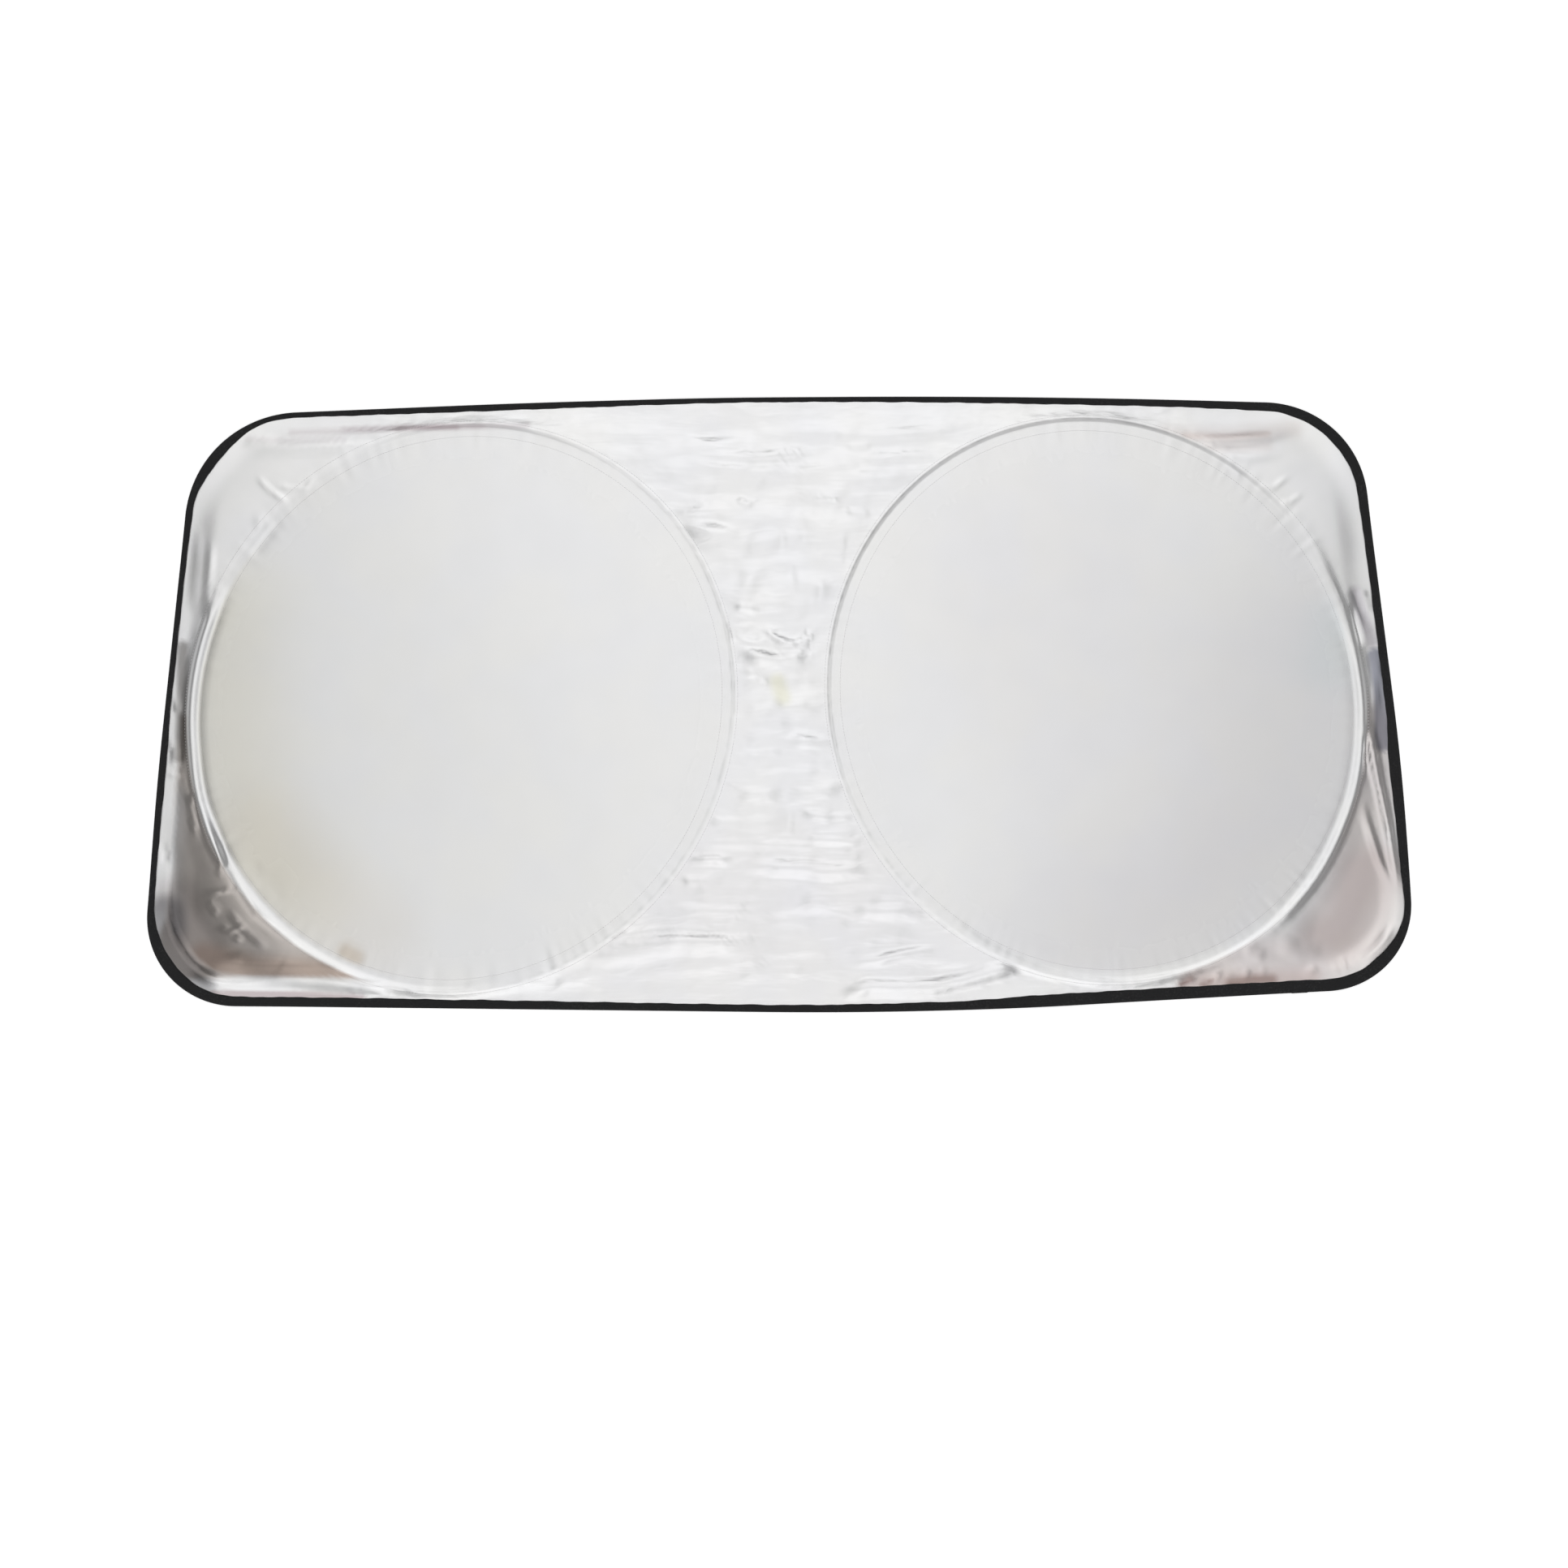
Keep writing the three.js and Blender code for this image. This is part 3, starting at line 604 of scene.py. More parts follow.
def ring_quads(inner: np.ndarray, outer: np.ndarray) -> np.ndarray:
    """Triangles over the quads between two closed rows of points, the outer row further out."""
    outer_next, inner_next = np.roll(outer, -1), np.roll(inner, -1)
    return np.vstack([
        np.stack([inner, outer, outer_next], axis=-1),
        np.stack([inner, outer_next, inner_next], axis=-1),
    ])


def halving_ring(inner: np.ndarray, outer: np.ndarray) -> np.ndarray:
    """Triangles between a closed row of points and one with twice as many points outside it."""
    even, odd, nxt = outer[0::2], outer[1::2], np.roll(outer[0::2], -1)
    inner_nxt = np.roll(inner, -1)
    return np.vstack([
        np.stack([inner, even, odd], axis=-1),
        np.stack([inner, odd, inner_nxt], axis=-1),
        np.stack([inner_nxt, odd, nxt], axis=-1),
    ])


def make_object(name: str, points: np.ndarray, faces: np.ndarray,
                smooth: bool = True) -> bpy.types.Object:
    """Puts points in millimetres and equal-sided faces into a new object.

    Args:
        name: The object's name.
        points: Points, one a row.
        faces: Corner numbers, one face a row.
        smooth: Whether the faces are shaded smoothly.

    Returns:
        The object, linked to the scene.
    """
    mesh = bpy.data.meshes.new(name)
    sides = faces.shape[1]
    mesh.vertices.add(len(points))
    mesh.vertices.foreach_set("co", (points * METRES).astype(np.float32).ravel())
    mesh.loops.add(faces.size)
    mesh.loops.foreach_set("vertex_index", faces.astype(np.int32).ravel())
    mesh.polygons.add(len(faces))
    mesh.polygons.foreach_set("loop_start", (np.arange(len(faces)) * sides).astype(np.int32))
    mesh.polygons.foreach_set("use_smooth", np.full(len(faces), smooth))
    mesh.update(calc_edges=True)
    mesh.validate()
    piece = bpy.data.objects.new(name, mesh)
    bpy.context.scene.collection.objects.link(piece)
    return piece


def add_numbers(piece: bpy.types.Object, name: str, values: np.ndarray) -> None:
    """Stores one number for each point of a piece, for its material to read."""
    attribute = piece.data.attributes.new(name, "FLOAT", "POINT")
    attribute.data.foreach_set("value", values.astype(np.float32))


def add_colours(piece: bpy.types.Object, name: str, colours: np.ndarray) -> None:
    """Stores one colour for each point of a piece, for its material to read."""
    attribute = piece.data.attributes.new(name, "FLOAT_COLOR", "POINT")
    full = np.column_stack([colours, np.ones(len(colours))])
    attribute.data.foreach_set("color", full.astype(np.float32).ravel())


def carried_section(name: str, points: np.ndarray, run: np.ndarray,
                    length: float) -> bpy.types.Object:
    """Makes a closed tube of quads from a section carried round a closed line, with a map along it.

    Args:
        name: The object's name.
        points: Points by station and by place in the section.
        run: Distance of each station along the line.
        length: Length of the whole line.

    Returns:
        The object, whose map holds metres along the line and round the section.
    """
    rows, sides = points.shape[:2]
    index = np.arange(rows * sides).reshape(rows, sides)
    ahead = np.roll(index, -1, axis=0)
    quads = np.stack([index, ahead, np.roll(ahead, -1, axis=1), np.roll(index, -1, axis=1)],
                     axis=-1)
    piece = make_object(name, points.reshape(-1, 3), quads.reshape(-1, 4))
    loop = points[0]
    steps = np.linalg.norm(np.roll(loop, -1, axis=0) - loop, axis=1)
    u = np.append(run, run[0] + length)[:, None] * np.ones(sides)
    v = np.concatenate([[0.0], np.cumsum(steps)])[None, :] * np.ones((rows, 1))
    corner_u = np.stack([u[:-1], u[1:], u[1:], u[:-1]], axis=-1)
    corner_v = np.stack([v[:, :-1], v[:, :-1], v[:, 1:], v[:, 1:]], axis=-1)
    layer = piece.data.uv_layers.new(name="tape")
    corners = np.stack([corner_u, corner_v], axis=-1) * METRES
    layer.data.foreach_set("uv", corners.astype(np.float32).ravel())
    return piece


def distance_to_line(points: np.ndarray, line: np.ndarray, batch: int = 4000) -> np.ndarray:
    """Distance from each point to the nearest point of a fine line, worked out in batches."""
    found = []
    for start in range(0, len(points), batch):
        part = points[start:start + batch]
        away = (part[:, None, 0] - line[None, :, 0]) ** 2 + (part[:, None, 1] - line[None, :, 1]) ** 2
        found.append(np.sqrt(away.min(axis=1)))
    return np.concatenate(found)


PUCKER_SEED = 11


class Ridge(Enum):
    """Cross-sections of the cloth over the wire.

    The first four numbers are the inner foot, inner top, outer top and outer foot, as distances from
    the wire's line, negative towards the hoop's centre. Then come the share of the crest's height
    that the cloth keeps past the outer foot, how far out that share sinks away, the share of the
    disc's height that a groove at the inner foot takes, and how far the crest stands above the disc.
    """

    TUNNEL = (-6.5, 1.0, 3.0, 14.0, 0.31, 30.0, 0.08, 0.95)
    LEAN = (-6.5, 1.0, 2.5, 10.0, 0.36, 30.0, 0.28, 0.95)
    END = (-6.5, 1.5, 2.5, 10.5, 0.42, 30.0, 0.12, 0.95)
    BANK = (-7.0, 0.8, 2.5, 9.0, 0.87, 62.0, 0.04, 0.95)
    SLOPE = (-6.0, 1.0, 3.0, 11.0, 0.88, 62.0, 0.04, 0.95)
    LOW = (-14.0, -3.0, 0.5, 12.0, 0.64, 50.0, 0.0, 0.25)
    THREAD = (-10.0, -4.0, -2.5, 4.0, 0.86, 150.0, 0.0, 0.0)
    TAUT = (-10.0, -4.0, -2.5, 4.2, 0.81, 150.0, 0.0, 0.0)
    EDGE = (-10.0, -4.5, -3.5, 4.4, 0.72, 120.0, 0.0, 0.0)
    STEP = (-10.0, -5.0, -4.0, 5.0, 0.77, 100.0, 0.0, 0.0)
    SOFT = (-10.0, -1.5, 4.0, 20.0, 0.965, 180.0, 0.0, 0.0)


# Each hoop's stretches: turn in degrees, cross-section and how far it is moved outwards
RIDGES = {
    "left": (
        (0, Ridge.THREAD, 0), (34, Ridge.THREAD, 0), (54, Ridge.TAUT, 0), (74, Ridge.TAUT, 0),
        (84, Ridge.STEP, 0), (94, Ridge.STEP, 0), (104, Ridge.THREAD, 0), (114, Ridge.SOFT, 0),
        (148, Ridge.SOFT, 0), (160, Ridge.LEAN, -4), (184, Ridge.LEAN, -4), (198, Ridge.LEAN, -1),
        (206, Ridge.LEAN, 0), (216, Ridge.BANK, 0), (244, Ridge.BANK, 1), (254, Ridge.TUNNEL, 1),
        (268, Ridge.TUNNEL, 1), (280, Ridge.LOW, 0), (306, Ridge.LOW, 0), (318, Ridge.SOFT, 0),
        (346, Ridge.SOFT, 0), (360, Ridge.THREAD, 0),
    ),
    "right": (
        (0, Ridge.END, -4), (10, Ridge.END, -5), (26, Ridge.LOW, -4), (44, Ridge.SOFT, 0),
        (58, Ridge.SOFT, 0), (68, Ridge.TAUT, 0), (82, Ridge.STEP, 0), (98, Ridge.STEP, 0),
        (110, Ridge.EDGE, 0), (150, Ridge.EDGE, 0), (172, Ridge.TAUT, 0), (188, Ridge.TAUT, 0),
        (200, Ridge.THREAD, 0), (218, Ridge.SOFT, 0), (234, Ridge.LOW, -2), (246, Ridge.BANK, -4),
        (260, Ridge.TUNNEL, -2), (280, Ridge.TUNNEL, 2), (291, Ridge.SLOPE, 3), (308, Ridge.SLOPE, 4),
        (320, Ridge.END, 2), (340, Ridge.END, -1), (360, Ridge.END, -4),
    ),
}


@dataclass
class ClothShape:
    """Height of the cloth's upper face at any point of the shade.

    A pair that is named for where something holds gives the two values between which it eases.

    Attributes:
        outline: The shade's outline.
        disc_rise: How far the taut disc inside each hoop stands above the lowest cloth.
        wire_clear: Least height over the wire.
        wire_fall: Distances from the wire at which that height starts and ends its fall.
        groove_reach: How far inside the inner foot the groove starts.
        crest_waves: Count round the hoop, shift and share of the two waves in the crest's height.
        pucker_rise: Height of the puckers along a hoop.
        pucker_waves: Shortest and longest pucker, and how far they turn.
        pucker_inside: Offsets over which the puckers rise from the disc.
        pucker_outside: Offsets over which they fade outside.
        crumple_rise: What is added to the puckers where the left hoop's cloth is loose.
        loose_from: Degrees at which that cloth starts to be loose.
        loose_until: Degrees at which it is taut again.
        ends_from: Distances from the middle line at which an end of the shade starts.
        left_strip_below: Heights on the shade at which the left level strip ends.
        right_strip_below: The same for the right one.
        right_strip_share: How full the right strip is.
        edge_level: Distances from the lip between which the edge's height gives way to the ridge's.
        strip_shift: By how much a level strip moves those two distances towards each other.
        edge_outside: Offsets from the wire over which the edge's height comes in.
        billow: How far the slack cloth puffs up.
        billow_lip: Distances from the lip over which it does.
        billow_wire: Offsets from the wire over which it does.
        billow_ends: Share of the billow that the ends lose.
        slack_from: Offsets from the wire over which the cloth becomes slack.
        slack_lip: Distances from the lip over which the ripples start.
        ripple_rise: Height of the long ripples between the hoops.
        ripple_waves: Seed, shortest and longest wave and largest turn of the ripples.
        crinkle_rise: Height of the crossing ripples near the middle line.
        crinkle_waves: Seed, shortest and longest wave, largest turn and count of those.
        crinkle_until: Distances from the middle line over which they fade.
        crease_lip: Distances from the lip over which the creases start.
        crease_ends: Offsets from the wire over which they start at the ends.
        crease_middle: The same between the hoops.
        crease_share: Factor on their height between the hoops.
        join: Distances from the middle line over which one hoop's ridge gives way to the other's.
        ground: Lowest height of the upper face.
        edge_points: Number of points that stand for the line of the edge.
    """

    outline: Outline
    disc_rise: float = 2.65
    wire_clear: float = 2.6
    wire_fall: tuple[float, float] = (0.8, 3.4)
    groove_reach: float = 9.0
    crest_waves: tuple[tuple[int, float, float], ...] = ((9, 1, 0.12), (23, 0, 0.08))
    pucker_rise: float = 0.04
    pucker_waves: tuple[float, float, float] = (9.0, 34.0, 0.5)
    pucker_inside: tuple[float, float] = (-34, -14)
    pucker_outside: tuple[float, float] = (4, 22)
    crumple_rise: float = 0.05
    loose_from: tuple[float, float] = (274, 288)
    loose_until: tuple[float, float] = (312, 332)
    ends_from: tuple[float, float] = (480, 620)
    left_strip_below: tuple[float, float] = (40, 150)
    right_strip_below: tuple[float, float] = (-260, -170)
    right_strip_share: float = 0.3
    edge_level: tuple[float, float] = (0.5, 30)
    strip_shift: tuple[float, float] = (11.5, 9)
    edge_outside: tuple[float, float] = (2, 14)
    billow: float = 1.0
    billow_lip: tuple[float, float] = (6, 60)
    billow_wire: tuple[float, float] = (3, 60)
    billow_ends: float = 0.7
    slack_from: tuple[float, float] = (3, 30)
    slack_lip: tuple[float, float] = (10, 40)
    ripple_rise: float = 0.46
    ripple_waves: tuple[float, ...] = (5, 22.0, 80.0, 0.2)
    crinkle_rise: float = 0.2
    crinkle_waves: tuple[float, ...] = (8, 18.0, 60.0, 1.5, 24)
    crinkle_until: tuple[float, float] = (60, 190)
    crease_lip: tuple[float, float] = (0.5, 8.0)
    crease_ends: tuple[float, float] = (-13, 2)
    crease_middle: tuple[float, float] = (-1, 12)
    crease_share: float = 1.3
    join: tuple[float, float] = (-42, 42)
    ground: float = 0.45
    edge_points: int = 1400

    def __post_init__(self) -> None:
        """Works out the line of the edge."""
        run = np.linspace(0, self.outline.length, self.edge_points, endpoint=False)
        self.edge = self.outline.at(run)[0]

    def section(self, hoop: Hoop, turn: np.ndarray) -> np.ndarray:
        """The ridge's eight numbers at each turn, eased between the stretches."""
        angles = np.array([angle for angle, _, _ in RIDGES[hoop.name]])
        moved = np.array([1, 1, 1, 1, 0, 0, 0, 0])
        sizes = np.array([np.array(kind.value) + shift * moved for _, kind, shift in RIDGES[hoop.name]])
        return eased_between(angles, sizes, np.degrees(turn) % 360)

    def ridge(self, hoop: Hoop, x: np.ndarray, y: np.ndarray) -> np.ndarray:
        """Height of the disc, of the cloth over the wire and of what it holds up outside.

        Inside, the taut disc rises to the crest between the inner foot and the inner top. Outside,
        a part of the crest's height falls off by the outer foot and the rest sinks by half of the
        distance's share and half of its eased share. Random ripples along the ring make puckers.
        """
        turn = hoop.turn_towards(x, y)
        offset = hoop.offset_of(x, y)
        numbers = np.moveaxis(self.section(hoop, turn), -1, 0)
        foot_in, top_in, top_out, foot_out, shelf, sink, groove, crest = numbers
        rise = ease(offset, foot_in, top_in)
        disc = self.disc_rise * (1 - groove * ease(offset, foot_in - self.groove_reach, foot_in))
        fall = 1 - ease(offset, top_out, foot_out)
        far = np.clip((offset - top_out) / sink, 0, 1)
        sunk = 1 - 0.5 * far - 0.5 * far * far * (3 - 2 * far)
        wave = sum(share * np.sin(count * turn + shift) for count, shift, share in self.crest_waves)
        crown = self.disc_rise + crest * (1 + wave)
        height = disc * (1 - rise) + crown * rise * (fall * (1 - shelf) + shelf * sunk)
        height += self.puckers(hoop, turn, offset)
        wire = self.wire_clear * (1 - ease(np.abs(offset), *self.wire_fall))
        return np.maximum(height, wire)

    def puckers(self, hoop: Hoop, turn: np.ndarray, offset: np.ndarray) -> np.ndarray:
        """Height of the puckers along a hoop, higher where the left hoop's cloth is loose."""
        degrees = np.degrees(turn) % 360
        loose = 0.0
        if hoop.side < 0:
            loose = ease(degrees, *self.loose_from) * (1 - ease(degrees, *self.loose_until))
        seed = PUCKER_SEED + hoop.side
        swing = ripples(0.25 * offset, turn * hoop.radius, seed, *self.pucker_waves)
        near = ease(offset, *self.pucker_inside) * (1 - ease(offset, *self.pucker_outside))
        return (self.pucker_rise + self.crumple_rise * loose) * swing * near

    def lip_distance(self, x: np.ndarray, y: np.ndarray) -> np.ndarray:
        """Distance from each point to the inner lip of the binding."""
        places = np.stack([x, y], axis=-1)
        return distance_to_line(places, self.edge) - self.outline.width(places) - BINDING_LIP

    def slack_relief(self, x: np.ndarray, y: np.ndarray, offset: np.ndarray, lip: np.ndarray,
                     ends: np.ndarray) -> np.ndarray:
        """What the billow, the ripples and the creases add to the height.

        Args:
            x: Places along the shade.
            y: Places across the shade.
            offset: Distances outside the wire.
            lip: Distances from the binding's inner lip.
            ends: How far each point belongs to an end of the shade.

        Returns:
            The heights to add.
        """
        billow = self.billow * ease(lip, *self.billow_lip) * ease(offset, *self.billow_wire)
        billow = billow * (1 - self.billow_ends * ends)
        middle = ease(offset, *self.slack_from) * ease(lip, *self.slack_lip) * (1 - ends)
        core = middle * (1 - ease(np.abs(x), *self.crinkle_until))
        rippled = self.ripple_rise * ripples(x, y, *self.ripple_waves) * middle
        rippled += self.crinkle_rise * ripples(x, y, *self.crinkle_waves) * core
        creases = sum(crease.height(x, y) for crease in SLACK_CREASES)
        middle_share = (1 - ends) * self.crease_share * ease(offset, *self.crease_middle)
        creases = creases * (ends * ease(offset, *self.crease_ends) + middle_share)
        creases += sum(crease.height(x, y) for crease in CROSSING_CREASES)
        return billow + rippled + creases * ease(lip, *self.crease_lip)

    def height(self, x: np.ndarray, y: np.ndarray) -> np.ndarray:
        """Height of the upper face.

        Near the binding the cloth lies as high as the lifted edge, and away from it as high as the
        ridges hold it. The low corners keep a level strip along the binding, which then drops. The
        relief of the slack cloth is added to that.
        """
        left = x < 0
        offset = np.where(left, HOOPS[0].offset_of(x, y), HOOPS[1].offset_of(x, y))
        side = ease(x, *self.join)
        ridge = (1 - side) * self.ridge(HOOPS[0], x, y) + side * self.ridge(HOOPS[1], x, y)
        lip = self.lip_distance(x, y)
        ends = ease(np.abs(x), *self.ends_from)
        left_strip = 1 - ease(y, *self.left_strip_below)
        right_strip = self.right_strip_share * (1 - ease(y, *self.right_strip_below))
        strip = ends * np.where(left, left_strip, right_strip)
        start = self.edge_level[0] + self.strip_shift[0] * strip
        finish = self.edge_level[1] - self.strip_shift[1] * strip
        edge_share = (1 - ease(lip, start, finish)) * ease(offset, *self.edge_outside)
        level = edge_share * edge_lift(x, y) + (1 - edge_share) * ridge
        relief = self.slack_relief(x, y, offset, lip, ends)
        return np.maximum(CLOTH_TOP + level + relief, self.ground)


DISC_ENDS = (-13, -6)
SLACK_STARTS = (1.5, 5.5)


class Zone(Enum):
    """On which side of the hoop a patch lies: most patches are painted shade, a few are stains."""

    DISC = "disc"
    SLACK = "slack"
    ANY = "any"


@dataclass(frozen=True)
class ShadeAndStainPatch:
    """A patch of the silver face along a path, whose colour multiplies the silver's: mostly painted shade,
    also a painted highlight, painted reflection tints and a few stains.

    Attributes:
        path: Points along the middle of the patch.
        core: Distance from the path within which it is full.
        reach: Distance from the path at which it ends.
        colour: What it multiplies the silver's colour by.
        zone: The side of the hoop that it stays on.
        lip: Distances from the binding at which it starts and is full.
        area: Whether the path is the bound of an area, which counts as negative distance inside.
    """

    path: tuple[tuple[float, float], ...]
    core: float
    reach: float
    colour: tuple[float, float, float]
    zone: Zone = Zone.ANY
    lip: tuple[float, float] = (-2.0, -1.0)
    area: bool = False

    def tint(self, x: np.ndarray, y: np.ndarray, offset: np.ndarray, lip: np.ndarray) -> np.ndarray:
        """The factors for red, green and blue at each point, 1 outside the patch."""
        away, _, _ = along_path(self.path + self.path[:1] if self.area else self.path, x, y)
        if self.area:
            away = np.where(inside_bound(self.path, x, y), -away, away)
        share = 1 - ease(away, self.core, self.reach)
        share *= ease(lip, *self.lip)
        if self.zone is Zone.DISC:
            share *= 1 - ease(offset, *DISC_ENDS)
        elif self.zone is Zone.SLACK:
            share *= ease(offset, *SLACK_STARTS)
        return 1 - share[:, None] * (1 - np.array(self.colour))


# Patches that multiply the silver face's colour. Most are painted shade, a painted highlight and painted
# reflection tints along the folds and the tilted cloth; the dark reddish spot by the top left corner is a
# real mark.
PAINTED_SHADE_AND_STAINS = (
    # Painted shade over the low left corner and down the left end beside the binding, with painted blue and
    # brown reflection tints.
    ShadeAndStainPatch(((-688, -12), (-692, -86), (-697, -180), (-704, -245), (-712, -264), (-712, -290), (-690, -316),
           (-660, -315), (-615, -313), (-522, -314), (-466, -318), (-500, -290), (-541, -270),
           (-600, -195), (-640, -125), (-655, -68), (-664, -12)), -5, 4, (0.56, 0.52, 0.49), Zone.SLACK,
          area=True),
    ShadeAndStainPatch(((-700, -110), (-704, -200), (-700, -250)), 8, 30, (0.86, 0.90, 0.94), Zone.SLACK, (13, 17)),
    ShadeAndStainPatch(((-660, -290), (-600, -304), (-500, -310)), 6, 26, (0.86, 0.76, 0.70), Zone.SLACK, (20, 25)),
    ShadeAndStainPatch(((-650, -333), (-560, -334), (-480, -337)), 3, 7, (0.72, 0.64, 0.65), Zone.SLACK),
    ShadeAndStainPatch(((-704, -240), (-702, -292), (-668, -326)), 12, 30, (0.50, 0.50, 0.51), Zone.SLACK),
    ShadeAndStainPatch(((-692, -225), (-674, -262), (-655, -285)), 8, 42, (0.64, 0.62, 0.62), Zone.SLACK),
    ShadeAndStainPatch(((-685, 66), (-685, 0), (-688, -60)), 3, 11, (0.42, 0.41, 0.40), Zone.SLACK),
    # Painted shade on the left disc, darker and warmer towards its left end.
    ShadeAndStainPatch(((-650, 90), (-650, -20), (-625, -120), (-580, -190)), 0, 140, (0.925, 0.91, 0.845), Zone.DISC),
    ShadeAndStainPatch(((-560, 160), (-420, 0), (-330, -200)), 60, 220, (0.985, 0.985, 0.98), Zone.DISC),
    # Darker, warmer patches on the lower left and the bottom of the left disc.
    ShadeAndStainPatch(((-600, -150), (-540, -215), (-470, -260)), 10, 90, (0.965, 0.945, 0.91), Zone.DISC),
    ShadeAndStainPatch(((-497, -284), (-486, -290)), 2, 17, (0.83, 0.77, 0.70), Zone.DISC),
    # A small yellowish spot by the middle line.
    ShadeAndStainPatch(((-2, 26), (4, 8)), 2, 15, (0.92, 0.915, 0.80)),
    # Painted shade on the right disc, darker towards its right end and lower right, with a faint painted blue
    # reflection tint near its right end.
    ShadeAndStainPatch(((600, 60), (590, -120), (470, -250), (330, -300)), 0, 200, (0.915, 0.91, 0.915), Zone.DISC),
    ShadeAndStainPatch(((300, 120), (380, 0), (420, -150)), 60, 230, (0.965, 0.96, 0.965), Zone.DISC),
    ShadeAndStainPatch(((640, 90), (630, 50)), 0, 60, (0.93, 0.965, 0.975), Zone.DISC),
    # Painted shade down the right end beside the binding and round the low right corner, bluish at the top.
    ShadeAndStainPatch(((662, 128), (669, 106), (681, 72)), 2, 12, (0.66, 0.64, 0.67), Zone.SLACK),
    ShadeAndStainPatch(((684, 56), (690, 20), (693, -45)), 6, 12, (0.42, 0.43, 0.49), Zone.SLACK),
    ShadeAndStainPatch(((678, -30), (674, -110), (660, -200), (635, -255)), 14, 56, (0.80, 0.76, 0.75), Zone.SLACK),
    ShadeAndStainPatch(((682, -200), (662, -262), (600, -300), (500, -312)), 22, 56, (0.85, 0.80, 0.79), Zone.SLACK),
    # A painted highlight along the crease at the low right corner: this factor brightens the silver.
    ShadeAndStainPatch(((672, -303), (694, -282), (711, -254)), 2, 9, (1.09, 1.09, 1.09), Zone.SLACK),
    # Painted shade in the puckers along the bottom edge on the right.
    ShadeAndStainPatch(((470, -320), (530, -318), (610, -314)), 0, 22, (0.84, 0.78, 0.76), Zone.SLACK),
    ShadeAndStainPatch(((462, -321), (472, -315)), 0, 7, (0.45, 0.37, 0.36), Zone.SLACK),
    ShadeAndStainPatch(((486, -321), (496, -318)), 0, 5, (0.62, 0.54, 0.52), Zone.SLACK),
    ShadeAndStainPatch(((518, -320), (545, -316), (566, -316)), 0, 11, (0.60, 0.52, 0.50), Zone.SLACK),
    # Painted shade along the fold by the top edge over the right hoop.
    ShadeAndStainPatch(((440, 309), (520, 309), (590, 316)), 0, 19, (0.89, 0.86, 0.85), Zone.SLACK),
    ShadeAndStainPatch(((466, 308), (515, 307), (560, 310)), 0, 8, (0.87, 0.82, 0.80), Zone.SLACK),
    ShadeAndStainPatch(((490, 294), (560, 296)), 0, 12, (0.94, 0.91, 0.90), Zone.SLACK),
    # Painted shade along the fold by the top edge over the left hoop.
    ShadeAndStainPatch(((-560, 312), (-470, 315), (-390, 318), (-290, 320)), 0, 7, (0.86, 0.83, 0.84)),
    ShadeAndStainPatch(((-500, 316), (-420, 318), (-340, 319)), 0, 5.5, (0.86, 0.83, 0.84)),
    ShadeAndStainPatch(((-440, 317), (-400, 318), (-370, 318)), 0, 6, (0.80, 0.76, 0.77)),
    ShadeAndStainPatch(((-610, 305), (-560, 302), (-500, 304)), 0, 6, (0.91, 0.89, 0.90)),
    # Painted shade: a little darker towards the bottom between the hoops.
    ShadeAndStainPatch(((-160, -250), (160, -250)), 30, 170, (0.965, 0.96, 0.966), Zone.SLACK),
    # Slightly bluer along the middle line between the hoops.
    ShadeAndStainPatch(((0, 330), (0, -150)), 80, 200, (0.992, 0.992, 1.0), Zone.SLACK),
    ShadeAndStainPatch(((-648, 300), (-632, 318)), 3, 9, (0.30, 0.20, 0.19)),
)


# Depth of the painted shade line along each wire, by turn in degrees: painted groove shade where the cloth
# bends over the wire.
WIRE_PAINTED_SHADE = {
    "left": ((0, 0.1), (40, 0.1), (60, 0.13), (80, 0.3), (98, 0.12), (112, 0), (272, 0), (290, 0.03),
             (345, 0.04), (360, 0.1)),
    "right": ((0, 0), (42, 0), (60, 0.28), (80, 0.42), (142, 0.4), (160, 0.28), (180, 0.15), (200, 0.08),
              (218, 0), (360, 0)),
}
# How much darker the taut discs are painted than the cloth round them: painted shade that leaves the ridges
# brighter.
DISC_PAINTED_SHADE = 0.06


def silver_tint(x: np.ndarray, y: np.ndarray, offset: np.ndarray, lip: np.ndarray) -> np.ndarray:
    """The product at each point of all patches of painted shade and stains, of the painted shade on the discs
    and of the painted shade lines on the wires.

    Each line is painted groove shade, 3 mm wide, where the taut cloth bends over the wire. Its depth is
    interpolated between the turns, in degrees, at which it is given.
    """
    # The discs start out painted a little darker: painted shade.
    tint = np.ones((len(x), 3)) - DISC_PAINTED_SHADE * (1 - ease(offset, -6, 4))[:, None]
    # Patches of painted shade, a painted highlight, painted reflection tints and a few stains.
    for shade_patch in PAINTED_SHADE_AND_STAINS:
        tint *= shade_patch.tint(x, y, offset, lip)
    # Painted groove shade along each wire.
    for hoop in HOOPS:
        degrees = np.degrees(hoop.turn_towards(x, y)) % 360
        depth = np.interp(degrees, *np.array(WIRE_PAINTED_SHADE[hoop.name]).T)
        near = (1 - ease(np.abs(hoop.offset_of(x, y) - 0.6), 0.9, 3.4)) * (x * hoop.side > 0)
        tint *= 1 - (depth * near)[:, None]
    return tint


